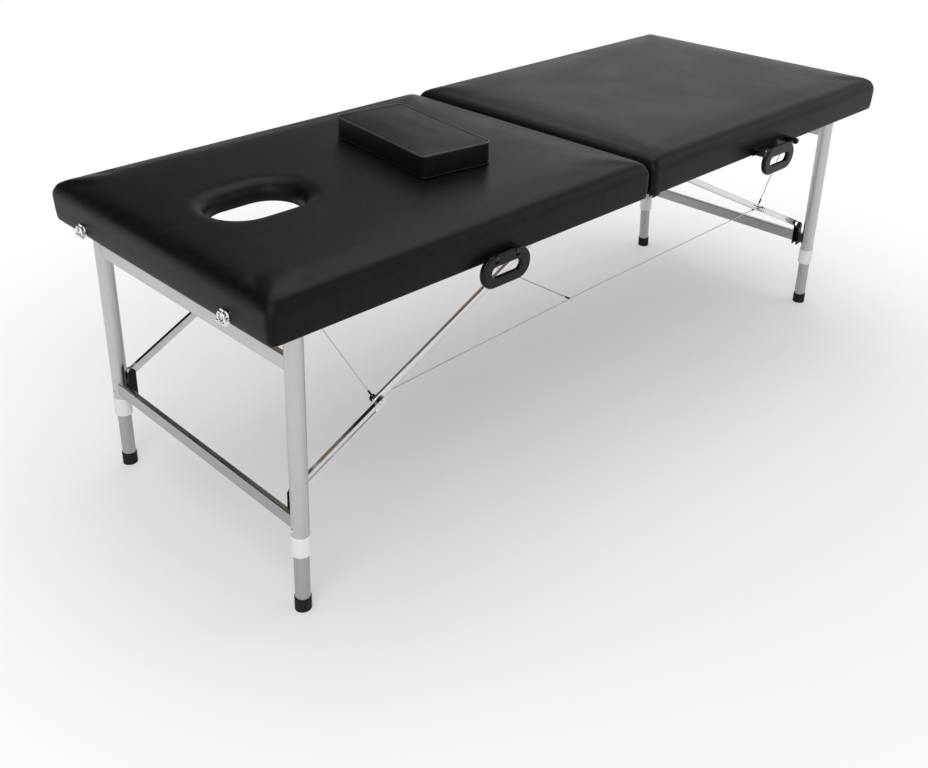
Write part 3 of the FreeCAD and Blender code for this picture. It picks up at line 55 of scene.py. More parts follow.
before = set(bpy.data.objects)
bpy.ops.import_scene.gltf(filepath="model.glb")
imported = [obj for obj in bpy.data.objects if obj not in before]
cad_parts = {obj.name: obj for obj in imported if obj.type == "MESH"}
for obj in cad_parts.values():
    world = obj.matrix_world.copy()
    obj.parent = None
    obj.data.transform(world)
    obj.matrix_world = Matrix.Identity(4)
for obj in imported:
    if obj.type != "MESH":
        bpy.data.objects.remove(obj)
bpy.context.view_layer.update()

HALVES = ("head", "foot")
ENDS = ("front", "back")
SIDE_OF_END = {"front": -1, "back": 1}
BOARD_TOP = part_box("head_board")[1][2]
BOARD_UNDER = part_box("head_board")[0][2]
INSIDE_BOARD = BOARD_TOP - 0.0005
# Half the width of a stay, which is the radius of its rounded ends.
STAY_ROUND = 0.0075
PADDING_PRESSURE = 4.0
# Part of a unit vector along an axis above which it counts as pointing that way.
FACING = 0.9
SAME_PLACE = 1e-6
NEAR_RIM = 1e-3


def length(title, note, default, smallest=0.0):
    """A size in metres that a user may change."""
    return FloatProperty(
        name=title, description=note, default=default, min=smallest, unit="LENGTH", precision=5
    )


def colour(title, note, default):
    """A colour that a user may change."""
    return FloatVectorProperty(
        name=title, description=note, default=default, subtype="COLOR", size=3, min=0.0, max=1.0
    )


class TableSizes(bpy.types.PropertyGroup):
    """Sizes of the soft and small pieces."""

    padding_swell: length("Padding swell", "How far the padding pushes the cover out", 0.0024)
    cover_ease: length("Cover ease", "How far the cover's sides start inside the solid", 0.0004)
    cover_voxel: length("Cover mesh size", "Mesh size of a cover before it is smoothed", 0.0062, 0.004)
    corner_radius: length("Corner radius", "Radius of the upright corners of a half", 0.014)
    edge_roll: length("Edge roll", "Radius of the rolled upper edge", 0.021)
    crown: length("Crown", "Rise of the padding towards the middle", 0.003)
    crown_reach: length("Crown reach", "Width of the rising band along the edges", 0.09)
    rim_tuck: length("Rim tuck", "How far the cover is drawn in at its lower edge", 0.0014)
    hem_width: length("Hem width", "Width of the hem that is stapled under the rails", 0.016)
    hem_thickness: length("Hem thickness", "Thickness of the hem under the rails", 0.001)
    pleat_depth: length("Pleat depth", "Depth of the gathers at the lower corners", 0.0003)
    liner_wall: length("Liner wall", "Wall of the sleeve in the face hole", 0.005)
    face_hole_corner: length("Face hole corner", "Corner radius of the face hole", 0.06)
    face_hole_roll: length("Face hole roll", "Radius of the rolled rim of the face hole", 0.02)
    pillow_width: length("Pillow width", "Pillow along the table", 0.158)
    pillow_length: length("Pillow length", "Pillow across the table", 0.318)
    pillow_corner: length("Pillow corner", "Radius of the pillow's upright corners", 0.012)
    pillow_swell: length("Pillow swell", "How far the pillow's faces bulge", 0.003)
    pillow_waist: length("Pillow waist", "How far the pillow's edges pull in between corners", 0.0012)
    pillow_turn: FloatProperty(
        name="Pillow turn",
        description="Turn of the pillow on the table",
        default=math.radians(-8),
        subtype="ANGLE",
    )
    welt_radius: length("Welt radius", "Radius of the welt round the pillow's edges", 0.0018)
    stay_roll: length("Stay roll", "Radius of the outer edges of the upper stays", 0.0037)
    stay_inner_roll: length("Stay inner roll", "Radius of the inner edges of the upper stays", 0.0018)
    rope_radius: length("Rope radius", "Radius of the bracing cables", 0.0011)
    rope_lay: length("Rope lay", "Length of one turn of the cable's strands", 0.018)
    rope_strands: IntProperty(name="Rope strands", description="Outer strands of a cable", default=6, min=3)
    staple_pitch: length("Staple pitch", "Distance between the staples of the hem", 0.045, 0.01)


class TableColours(bpy.types.PropertyGroup):
    """Colours of the finishes."""

    cover: colour("Cover", "Black leatherette of the halves", (0.0045, 0.0045, 0.005))
    pillow: colour("Pillow", "Black leatherette of the pillow", (0.003, 0.003, 0.0033))
    # The welt colour is the pillow's black leatherette made lighter: a painted highlight along the upper
    # seam.
    welt: colour("Welt", "Leatherette cord in the pillow's seams", (0.05, 0.05, 0.052))
    tube: colour("Leg tube", "Satin aluminium of the outer legs", (0.53, 0.53, 0.535))
    inner_tube: colour("Inner tube", "Duller aluminium of the sliding legs", (0.43, 0.425, 0.435))
    lower_bar: colour("Lower bar", "Brushed aluminium of the lower crossbars", (0.4, 0.4, 0.405))
    chrome: colour("Chrome", "Polished latches and buttons", (0.8, 0.8, 0.81))
    stay: colour("Stay", "Polished folding stays", (0.7, 0.7, 0.71))
    zinc: colour("Zinc", "Zinc-plated brackets, hinges and pins", (0.62, 0.63, 0.64))
    screw: colour("Screw", "Blackened screw heads", (0.06, 0.06, 0.063))
    collar: colour("Collar", "White plastic collars", (0.86, 0.86, 0.855))
    gloss_black: colour("Gloss black", "Handles and clips", (0.004, 0.004, 0.0042))
    rubber: colour("Rubber", "Leg tips and the sleeve of the face hole", (0.005, 0.005, 0.0053))
    veneer_light: colour("Veneer, light", "Plywood between the grain lines", (0.37, 0.285, 0.205))
    veneer_dark: colour("Veneer, dark", "Grain lines of the plywood", (0.265, 0.19, 0.125))
    pine_light: colour("Pine, light", "Softwood of the rails", (0.4, 0.305, 0.21))
    pine_dark: colour("Pine, dark", "Grain lines of the rails", (0.28, 0.19, 0.115))
    rope: colour("Rope", "Galvanised wire rope", (0.56, 0.56, 0.575))
    floor: colour("Floor", "Pale studio floor", (0.82, 0.82, 0.845))


def sizes():
    """The sizes held by the scene."""
    return bpy.context.scene.table_sizes


def colours():
    """The colours held by the scene."""
    return bpy.context.scene.table_colours


def make_active(piece):
    """Select one piece alone and make it the active one."""
    bpy.ops.object.select_all(action="DESELECT")
    piece.select_set(True)
    bpy.context.view_layer.objects.active = piece


def name_piece(name):
    """Name the object that was just added and its mesh."""
    piece = bpy.context.active_object
    piece.name = name
    piece.data.name = name
    return piece


@contextmanager
def editing(piece, mode):
    """Edit mode on one piece with nothing selected."""
    make_active(piece)
    bpy.ops.object.mode_set(mode="EDIT")
    bpy.ops.mesh.select_mode(type=mode)
    bpy.ops.mesh.select_all(action="DESELECT")
    yield
    bpy.ops.object.mode_set(mode="OBJECT")


def pick(kind, test):
    """Select only those verts, edges or faces of the piece in edit mode that pass a test."""
    bpy.ops.mesh.select_all(action="DESELECT")
    mesh = bpy.context.active_object.data
    shape = bmesh.from_edit_mesh(mesh)
    for element in getattr(shape, kind):
        if test(element):
            element.select_set(True)
    bmesh.update_edit_mesh(mesh)


def stands_upright(edge):
    """Whether an edge runs along Z."""
    run = edge.verts[1].co - edge.verts[0].co
    return abs(run.z) > 0.99 * run.length


def lies_at(level, reach=1e-4):
    """A test for elements whose corners all lie at a level."""
    return lambda element: all(abs(corner.co.z - level) < reach for corner in element.verts)


def add_block(name, low, high):
    """A block between two corners, with its place in its mesh."""
    low, high = Vector(low), Vector(high)
    bpy.ops.object.select_all(action="DESELECT")
    bpy.ops.mesh.primitive_cube_add(size=1.0, location=(low + high) / 2)
    piece = name_piece(name)
    piece.scale = high - low
    bpy.ops.object.transform_apply(location=True, rotation=True, scale=True)
    return piece


def add_disc(name, corners, radius, height):
    """A disc that stands on the origin along +Z."""
    bpy.ops.object.select_all(action="DESELECT")
    middle = (0, 0, height / 2)
    bpy.ops.mesh.primitive_cylinder_add(vertices=corners, radius=radius, depth=height, location=middle)
    disc = name_piece(name)
    bpy.ops.object.transform_apply(location=True, rotation=True, scale=True)
    return disc


def close_openings():
    """Fill the open edges of the piece in edit mode and turn its faces outward."""
    pick("edges", lambda edge: edge.is_boundary)
    bpy.ops.mesh.fill(use_beauty=False)
    bpy.ops.mesh.select_all(action="SELECT")
    bpy.ops.mesh.normals_make_consistent(inside=False)


def finish_with(piece, kind, **values):
    """Add a modifier, set it up and apply it."""
    make_active(piece)
    bpy.ops.object.modifier_add(type=kind)
    modifier = piece.modifiers[-1]
    for name, value in values.items():
        setattr(modifier, name, value)
    bpy.ops.object.modifier_apply(modifier=modifier.name)


def cut_away(piece, cutter):
    """Cut a piece by another, which is then removed."""
    finish_with(piece, "BOOLEAN", operation="DIFFERENCE", object=cutter, solver="EXACT")
    bpy.data.objects.remove(cutter)


def remesh(piece, mesh_size):
    """Mesh a piece evenly."""
    make_active(piece)
    piece.data.remesh_voxel_size = mesh_size
    bpy.ops.object.voxel_remesh()


def shade(piece, angle=None):
    """Shade a piece smooth, with sharp edges past an angle if one is given."""
    make_active(piece)
    if angle is None:
        bpy.ops.object.shade_smooth()
    else:
        bpy.ops.object.shade_smooth_by_angle(angle=math.radians(angle))


def dress(piece, body, finish):
    """Give a piece its finish and the body that carries it."""
    piece.data.materials.clear()
    piece.data.materials.append(finish)
    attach(piece, body)


def copied(pattern, name):
    """A copy of a piece with its own mesh."""
    copy = pattern.copy()
    copy.data = pattern.data.copy()
    copy.name = name
    bpy.context.scene.collection.objects.link(copy)
    return copy


def joined(name, pieces):
    """Join pieces into the first one."""
    bpy.ops.object.select_all(action="DESELECT")
    for piece in pieces:
        piece.select_set(True)
    bpy.context.view_layer.objects.active = pieces[0]
    if len(pieces) > 1:
        bpy.ops.object.join()
    return name_piece(name)


def new_group(name, inputs, outputs):
    """A shader node group with named inputs and outputs; gives the tree and its two ends."""
    tree = bpy.data.node_groups.new(name, "ShaderNodeTree")
    for title, kind, value in inputs:
        tree.interface.new_socket(title, in_out="INPUT", socket_type=kind).default_value = value
    for title, kind in outputs:
        tree.interface.new_socket(title, in_out="OUTPUT", socket_type=kind)
    return tree, tree.nodes.new("NodeGroupInput"), tree.nodes.new("NodeGroupOutput")


def noise(tree, vector, scale, detail=3.0, roughness=0.55):
    """A noise texture; the scale is a number or a socket."""
    texture = tree.nodes.new("ShaderNodeTexNoise")
    texture.inputs["Detail"].default_value = detail
    texture.inputs["Roughness"].default_value = roughness
    tree.links.new(vector, texture.inputs["Vector"])
    if isinstance(scale, (int, float)):
        texture.inputs["Scale"].default_value = scale
    else:
        tree.links.new(scale, texture.inputs["Scale"])
    return texture.outputs["Fac"]


def spread_out(tree, value, low, high, bottom=0.0, top=1.0):
    """Stretch a range of values over another, held at its ends."""
    ranged = tree.nodes.new("ShaderNodeMapRange")
    ranged.interpolation_type = "SMOOTHSTEP"
    tree.links.new(value, ranged.inputs["Value"])
    for title, amount in (("From Min", low), ("From Max", high), ("To Min", bottom), ("To Max", top)):
        if isinstance(amount, (int, float)):
            ranged.inputs[title].default_value = amount
        else:
            tree.links.new(amount, ranged.inputs[title])
    return ranged.outputs["Result"]


def combine(tree, operation, first, second):
    """A math node between a socket and a socket or number."""
    node = tree.nodes.new("ShaderNodeMath")
    node.operation = operation
    tree.links.new(first, node.inputs[0])
    if isinstance(second, (int, float)):
        node.inputs[1].default_value = second
    else:
        tree.links.new(second, node.inputs[1])
    return node.outputs["Value"]


def stretched(tree, stretch):
    """Object coordinates multiplied by a vector socket."""
    place = tree.nodes.new("ShaderNodeTexCoord")
    scale = tree.nodes.new("ShaderNodeVectorMath")
    scale.operation = "MULTIPLY"
    tree.links.new(place.outputs["Object"], scale.inputs[0])
    tree.links.new(stretch, scale.inputs[1])
    return scale.outputs["Vector"]


def leather_grain_group():
    """Pebbled grain of leatherette with fine creases."""
    tree, start, end = new_group(
        "Leather grain",
        (("Scale", "NodeSocketFloat", 700.0), ("Crease scale", "NodeSocketFloat", 45.0)),
        (("Height", "NodeSocketFloat"), ("Creases", "NodeSocketFloat")),
    )
    place = tree.nodes.new("ShaderNodeTexCoord")
    cells = tree.nodes.new("ShaderNodeTexVoronoi")
    cells.feature = "DISTANCE_TO_EDGE"
    tree.links.new(place.outputs["Object"], cells.inputs["Vector"])
    tree.links.new(start.outputs["Scale"], cells.inputs["Scale"])
    pebbles = spread_out(tree, cells.outputs["Distance"], 0.0, 0.28)
    fold = noise(tree, place.outputs["Object"], start.outputs["Crease scale"], 4.0)
    creases = spread_out(tree, fold, 0.42, 0.6)
    height = combine(tree, "MULTIPLY_ADD", pebbles, 0.7)
    tree.links.new(combine(tree, "MULTIPLY", creases, 0.3), height.node.inputs[2])
    tree.links.new(height, end.inputs["Height"])
    tree.links.new(creases, end.inputs["Creases"])


def handling_group():
    """Cloudy patches where a surface is a little duller or shinier."""
    tree, start, end = new_group(
        "Handling marks",
        (
            ("Scale", "NodeSocketFloat", 9.0),
            ("Shiny", "NodeSocketFloat", 0.3),
            ("Dull", "NodeSocketFloat", 0.45),
        ),
        (("Roughness", "NodeSocketFloat"), ("Patches", "NodeSocketFloat")),
    )
    place = tree.nodes.new("ShaderNodeTexCoord")
    clouds = noise(tree, place.outputs["Object"], start.outputs["Scale"], 5.0, 0.6)
    patches = spread_out(tree, clouds, 0.34, 0.66)
    rough = spread_out(tree, patches, 0.0, 1.0, start.outputs["Shiny"], start.outputs["Dull"])
    tree.links.new(rough, end.inputs["Roughness"])
    tree.links.new(patches, end.inputs["Patches"])


def drawn_lines_group():
    """Fine lines that drawing or brushing leaves along a metal."""
    tree, start, end = new_group(
        "Drawn lines",
        (("Stretch", "NodeSocketVector", (900.0, 900.0, 9.0)),),
        (("Height", "NodeSocketFloat"), ("Streaks", "NodeSocketFloat")),
    )
    lines = noise(tree, stretched(tree, start.outputs["Stretch"]), 1.0, 4.0, 0.65)
    tree.links.new(lines, end.inputs["Height"])
    tree.links.new(spread_out(tree, lines, 0.35, 0.65), end.inputs["Streaks"])


def wood_grain_group():
    """Growth lines and pores of sawn wood or veneer."""
    tree, start, end = new_group(
        "Wood grain",
        (("Stretch", "NodeSocketVector", (3.0, 60.0, 60.0)),),
        (("Lines", "NodeSocketFloat"), ("Height", "NodeSocketFloat")),
    )
    along = stretched(tree, start.outputs["Stretch"])
    broad = noise(tree, along, 1.0, 4.0, 0.6)
    waves = combine(tree, "SINE", combine(tree, "MULTIPLY", broad, 34.0), 0.0)
    pores = spread_out(tree, noise(tree, along, 9.0, 2.0), 0.58, 0.72)
    lines = combine(tree, "ADD", combine(tree, "MULTIPLY", spread_out(tree, waves, -0.4, 1.0), 0.7), pores)
    tree.links.new(spread_out(tree, lines, 0.0, 1.25), end.inputs["Lines"])
    tree.links.new(combine(tree, "SUBTRACT", broad, pores), end.inputs["Height"])


def speckle_group():
    """Fine speckle of moulded plastic, rubber and plating."""
    tree, start, end = new_group(
        "Fine speckle",
        (("Scale", "NodeSocketFloat", 900.0),),
        (("Height", "NodeSocketFloat"), ("Specks", "NodeSocketFloat")),
    )
    place = tree.nodes.new("ShaderNodeTexCoord")
    fine = noise(tree, place.outputs["Object"], start.outputs["Scale"], 2.0, 0.5)
    tree.links.new(fine, end.inputs["Height"])
    tree.links.new(spread_out(tree, fine, 0.6, 0.72), end.inputs["Specks"])


class Finish:
    """A material under construction: its tree, its Principled shader and the groups placed in it."""

    def __init__(self, name, tint, **fixed):
        self.material = bpy.data.materials.new(name)
        self.material.use_nodes = True
        self.material.diffuse_color = (*tint, 1.0)
        self.tree = self.material.node_tree
        self.shader = next(node for node in self.tree.nodes if node.type == "BSDF_PRINCIPLED")
        self.shader.inputs["Base Color"].default_value = (*tint, 1.0)
        for title, value in fixed.items():
            self.shader.inputs[title.replace("_", " ")].default_value = value

    def place(self, group, **values):
        """Put a shared group in the material with its own values."""
        node = self.tree.nodes.new("ShaderNodeGroup")
        node.node_tree = bpy.data.node_groups[group]
        for title, value in values.items():
            node.inputs[title.replace("_", " ")].default_value = value
        return node

    def feed(self, socket, title):
        """Link a value into the shader."""
        self.tree.links.new(socket, self.shader.inputs[title])

    def wear(self, scale, shiny, dull):
        """Roughness that varies in patches; gives the node of the patches."""
        marks = self.place("Handling marks", Scale=scale, Shiny=shiny, Dull=dull)
        self.feed(marks.outputs["Roughness"], "Roughness")
        return marks

    def tint_between(self, mask, first, second):
        """Base colour from one tint to another by a mask."""
        mix = self.tree.nodes.new("ShaderNodeMix")
        mix.data_type = "RGBA"
        self.tree.links.new(mask, mix.inputs[0])
        mix.inputs[6].default_value = (*first, 1.0)
        mix.inputs[7].default_value = (*second, 1.0)
        self.feed(mix.outputs[2], "Base Color")

    def raise_by(self, height, distance, strength=1.0):
        """Bump the surface by a height."""
        bump = self.tree.nodes.new("ShaderNodeBump")
        bump.inputs["Strength"].default_value = strength
        bump.inputs["Distance"].default_value = distance
        self.tree.links.new(height, bump.inputs["Height"])
        self.feed(bump.outputs["Normal"], "Normal")


def times(tint, factor):
    """A tint made darker or lighter."""
    return tuple(min(1.0, channel * factor) for channel in tint)


def leatherette(name, tint, shiny, dull, fineness, gloss):
    """Black leatherette with a soft sheen."""
    finish = Finish(name, tint, Specular_IOR_Level=gloss)
    grain = finish.place("Leather grain", Scale=fineness)
    finish.wear(6.0, shiny, dull)
    finish.tint_between(grain.outputs["Creases"], times(tint, 0.8), times(tint, 1.15))
    finish.raise_by(grain.outputs["Height"], 0.00012, 0.5)
    return finish.material


def drawn_metal(name, tint, shiny, dull, stretch, depth):
    """Metal with fine lines along it and a little handling."""
    finish = Finish(name, tint, Metallic=1.0)
    lines = finish.place("Drawn lines", Stretch=stretch)
    finish.wear(14.0, shiny, dull)
    finish.tint_between(lines.outputs["Streaks"], times(tint, 0.95), times(tint, 1.04))
    finish.raise_by(lines.outputs["Height"], depth, 0.4)
    return finish.material


def plated_steel(name, tint, shiny, dull):
    """Plated sheet steel with a faint speckle."""
    finish = Finish(name, tint, Metallic=1.0)
    specks = finish.place("Fine speckle", Scale=420.0)
    marks = finish.wear(22.0, shiny, dull)
    finish.tint_between(marks.outputs["Patches"], times(tint, 0.92), times(tint, 1.05))
    finish.raise_by(specks.outputs["Height"], 0.00005, 0.3)
    return finish.material


def moulded(name, tint, shiny, dull, speckle, depth, gloss=0.5):
    """Moulded plastic or rubber."""
    finish = Finish(name, tint, Specular_IOR_Level=gloss)
    specks = finish.place("Fine speckle", Scale=speckle)
    finish.wear(30.0, shiny, dull)
    finish.tint_between(specks.outputs["Specks"], tint, times(tint, 1.25 if max(tint) < 0.3 else 0.97))
    finish.raise_by(specks.outputs["Height"], depth, 0.5)
    return finish.material


def sawn_wood(name, light, dark, stretch, shiny, dull):
    """Unpainted wood with its grain along the piece."""
    finish = Finish(name, light)
    grain = finish.place("Wood grain", Stretch=stretch)
    finish.wear(12.0, shiny, dull)
    finish.tint_between(grain.outputs["Lines"], light, dark)
    finish.raise_by(grain.outputs["Height"], 0.0002, 0.5)
    return finish.material


ALONG_LEG = (900.0, 900.0, 7.0)
ALONG_BAR = (900.0, 7.0, 900.0)
ALONG_STAY = (12.0, 900.0, 500.0)


def make_finishes():
    """Build the shared groups and every finish of the table."""
    for build in (leather_grain_group, handling_group, drawn_lines_group, wood_grain_group, speckle_group):
        build()
    tints = colours()
    leatherette("cover_leatherette", tuple(tints.cover), shiny=0.37, dull=0.41, fineness=620.0, gloss=0.12)
    leatherette("pillow_leatherette", tuple(tints.pillow), shiny=0.39, dull=0.44, fineness=700.0, gloss=0.17)
    # A lighter copy of the pillow's leatherette: a painted highlight for the upper welt.
    leatherette("welt_leatherette", tuple(tints.welt), shiny=0.34, dull=0.4, fineness=900.0, gloss=0.4)
    drawn_metal("satin_tube", tuple(tints.tube), shiny=0.3, dull=0.38, stretch=ALONG_LEG, depth=0.00003)
    drawn_metal("satin_bar", tuple(tints.tube), shiny=0.3, dull=0.38, stretch=ALONG_BAR, depth=0.00003)
    drawn_metal("dull_tube", tuple(tints.inner_tube), shiny=0.4, dull=0.5, stretch=ALONG_LEG, depth=0.00004)
    drawn_metal("lower_bar", tuple(tints.lower_bar), shiny=0.22, dull=0.3, stretch=ALONG_BAR, depth=0.00002)
    drawn_metal("polished_stay", tuple(tints.stay), shiny=0.1, dull=0.18, stretch=ALONG_STAY, depth=0.00001)
    plated_steel("polished_latch", tuple(tints.chrome), shiny=0.07, dull=0.15)
    plated_steel("zinc_plate", tuple(tints.zinc), shiny=0.3, dull=0.45)
    plated_steel("dark_screw", tuple(tints.screw), shiny=0.28, dull=0.4)
    drawn_metal(
        "wire_strand", tuple(tints.rope),
        shiny=0.3, dull=0.42, stretch=(300.0, 300.0, 300.0), depth=0.00002,
    )
    moulded("white_collar", tuple(tints.collar), shiny=0.36, dull=0.48, speckle=1200.0, depth=0.00002)
    moulded(
        "gloss_black", tuple(tints.gloss_black),
        shiny=0.14, dull=0.22, speckle=500.0, depth=0.00001, gloss=0.2,
    )
    moulded(
        "black_rubber", tuple(tints.rubber),
        shiny=0.62, dull=0.78, speckle=1500.0, depth=0.00006, gloss=0.25,
    )
    veneer = (tuple(tints.veneer_light), tuple(tints.veneer_dark))
    sawn_wood("birch_veneer", *veneer, stretch=(2.5, 38.0, 38.0), shiny=0.5, dull=0.62)
    pine = (tuple(tints.pine_light), tuple(tints.pine_dark))
    sawn_wood("pine_rail", *pine, stretch=(4.0, 4.0, 70.0), shiny=0.52, dull=0.66)


def finish(name):
    """A finish by its name."""
    return bpy.data.materials[name]


def finish_of_node(node):
    """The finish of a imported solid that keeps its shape."""
    endings = (
        ("_board", "birch_veneer"),
        ("_rails", "pine_rail"),
        ("_upper_bar", "satin_bar"),
        ("_lower_bar", "lower_bar"),
        ("_stay_brackets", "gloss_black"),
        ("_collars", "white_collar"),
        ("_handle_base", "gloss_black"),
        ("_handle_loop", "gloss_black"),
        ("_latch_loop", "polished_latch"),
        ("latch_plates", "polished_latch"),
        ("latch_catches", "polished_latch"),
        ("face_hole_liner", "black_rubber"),
    )
    parts = (
        ("inner_leg_", "dull_tube"),
        ("_leg_front", "satin_tube"),
        ("_leg_back", "satin_tube"),
        ("_tip_", "black_rubber"),
        ("_button_", "polished_latch"),
        ("_stay_front", "polished_stay"),
        ("_stay_back", "polished_stay"),
    )
    for ending, name in endings:
        if node.endswith(ending):
            return finish(name)
    for part, name in parts:
        if part in node:
            return finish(name)
    return finish("zinc_plate")


def hold_by(piece, weight):
    """A vertex group that holds the cloth, with a weight from each point."""
    group = piece.vertex_groups.new(name="held")
    for vertex in piece.data.vertices:
        amount = min(1.0, max(0.0, weight(vertex.co)))
        if amount > 0.0:
            group.add([vertex.index], amount, "REPLACE")
    return group.name


def puff(piece, held, reach):
    """Blow a cover up over its padding as cloth, and keep the result within a reach."""
    frames = 20
    make_active(piece)
    bpy.ops.object.modifier_add(type="CLOTH")
    cloth = piece.modifiers[-1]
    settings = cloth.settings
    settings.quality = 5
    settings.mass = 0.3
    settings.tension_stiffness = 15.0
    settings.compression_stiffness = 15.0
    settings.bending_stiffness = 4.0
    settings.use_pressure = True
    settings.uniform_pressure_force = PADDING_PRESSURE
    settings.vertex_group_mass = held
    settings.effector_weights.gravity = 0.0
    cloth.collision_settings.use_collision = False
    cloth.point_cache.frame_start = 1
    cloth.point_cache.frame_end = frames
    for moment in range(1, frames + 1):
        bpy.context.scene.frame_set(moment)
    blown = piece.evaluated_get(bpy.context.evaluated_depsgraph_get())
    places = [vertex.co.copy() for vertex in blown.data.vertices]
    bpy.ops.object.modifier_remove(modifier=cloth.name)
    for vertex, place in zip(piece.data.vertices, places):
        move = place - vertex.co
        if move.length > reach:
            move *= reach / move.length
        vertex.co += move
    bpy.context.scene.frame_set(1)


def raise_rings(rings, width, depth, middle, level):
    """Extrude the face in edit mode through rings, each an inset from its outline and a level."""
    reach = 0.0
    for inset, raised in rings:
        bpy.ops.mesh.extrude_region_move(TRANSFORM_OT_translate={"value": (0, 0, raised - level)})
        ratio = ((width - 2 * inset) / (width - 2 * reach), (depth - 2 * inset) / (depth - 2 * reach), 1.0)
        bpy.ops.transform.resize(value=ratio, center_override=(middle.x, middle.y, raised))
        reach, level = inset, raised


def face_hole_cutter(top):
    """The space of the face hole, flared to its rolled rim."""
    size = sizes()
    low, high = (Vector(corner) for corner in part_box("face_hole_liner"))
    wall = Vector((size.liner_wall, size.liner_wall, 0.0))
    low, high = low + wall, high - wall
    roll = size.face_hole_roll
    foot = top - roll
    below_board = 0.48
    clear_above = 0.006
    last_flare = 1.5
    middle = (low + high) / 2
    cutter = add_block("face_hole_space", (low.x, low.y, below_board), (high.x, high.y, foot))
    width, depth = high.x - low.x, high.y - low.y
    rings = []
    for angle in (25, 50, 75, 88):
        turn = math.radians(angle)
        rings.append((-roll * (1 - math.cos(turn)), foot + roll * math.sin(turn)))
    rings.append((-roll * last_flare, foot + (roll + clear_above)))
    with editing(cutter, "EDGE"):
        pick("edges", stands_upright)
        bpy.ops.mesh.bevel(offset=size.face_hole_corner, segments=10, affect="EDGES")
        bpy.ops.mesh.select_mode(type="FACE")
        pick("faces", lies_at(foot))
        raise_rings(rings, width, depth, middle, foot)
    return cutter


def padded_block(half, low, high, rim):
    """Half of the table as one soft block: upright corners, rolled upper edge and a slight crown."""
    size = sizes()
    roll = size.edge_roll
    edge_level = high.z - size.crown
    roll_foot = edge_level - roll
    depth_below = 0.03
    first_reach, first_rise = 0.33, 0.6
    piece = add_block(f"{half}_cover", (low.x, low.y, rim - depth_below), (high.x, high.y, roll_foot))
    rings = []
    for angle in (18, 36, 54, 72, 86):
        turn = math.radians(angle)
        rings.append((roll * (1 - math.cos(turn)), roll_foot + roll * math.sin(turn)))
    rings.append((roll + size.crown_reach * first_reach, edge_level + size.crown * first_rise))
    rings.append((roll + size.crown_reach, high.z))
    span = high - low
    middle = (low + high) / 2
    with editing(piece, "EDGE"):
        pick("edges", stands_upright)
        bpy.ops.mesh.bevel(offset=size.corner_radius, segments=8, affect="EDGES")
        bpy.ops.mesh.select_mode(type="FACE")
        pick("faces", lies_at(roll_foot))
        raise_rings(rings, span.x, span.y, middle, roll_foot)
    return piece


def gather_corners(piece, low, high, rim):
    """Draw the lower edge in and lay small gathers round the lower corners."""
    size = sizes()
    bend = size.corner_radius
    tuck_height = 0.024
    waves = 9
    middle = (low + high) / 2
    for vertex in piece.data.vertices:
        place = vertex.co
        lift = (place.z - rim) / tuck_height
        if lift >= 1.0:
            continue
        inward = Vector((middle.x - place.x, middle.y - place.y, 0.0))
        reach_x = abs(inward.x) - ((high.x - low.x) / 2 - bend)
        reach_y = abs(inward.y) - ((high.y - low.y) / 2 - bend)
        ease = (1.0 - lift) ** 2
        if reach_x > 0.0 and reach_y > 0.0:
            angle = math.atan2(reach_y, reach_x)
            pull = size.rim_tuck + size.pleat_depth * (1 - math.cos(4 * waves * angle)) * math.sin(2 * angle)
            away = Vector((reach_x * math.copysign(1, inward.x), reach_y * math.copysign(1, inward.y), 0.0))
            place += away.normalized() * pull * ease
        elif reach_x > reach_y:
            place.x += math.copysign(size.rim_tuck * ease, inward.x)
        else:
            place.y += math.copysign(size.rim_tuck * ease, inward.y)


def turn_hem_under(rim):
    """Fold the lower edge of the cover in edit mode flat under the rails."""
    fold = 0.004
    pick("edges", lambda edge: edge.is_boundary and lies_at(rim, NEAR_RIM)(edge))
    bpy.ops.mesh.edge_face_add()
    bpy.ops.mesh.select_mode(type="FACE")
    bpy.ops.mesh.inset(thickness=fold)
    bpy.ops.mesh.inset(thickness=sizes().hem_width - fold)
    bpy.ops.mesh.delete(type="ONLY_FACE")


def close_inside(rim):
    """Close the cover in edit mode over the board, out of sight inside the wood."""
    bpy.ops.mesh.select_mode(type="EDGE")
    pick("edges", lambda edge: edge.is_boundary and lies_at(rim, NEAR_RIM)(edge))
    bpy.ops.mesh.extrude_region_move(TRANSFORM_OT_translate={"value": (0, 0, INSIDE_BOARD - rim)})
    close_openings()


def round_the_hole(top):
    """A test for faces of the head cover inside the face hole, below its rolled rim."""
    low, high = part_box("face_hole_liner")
    reach = 0.006

    def in_the_hole(face):
        spot = face.calc_center_median()
        in_x = low[0] - reach < spot.x < high[0] + reach
        in_y = low[1] - reach < spot.y < high[1] + reach
        return in_x and in_y and spot.z < top - sizes().face_hole_roll

    return in_the_hole


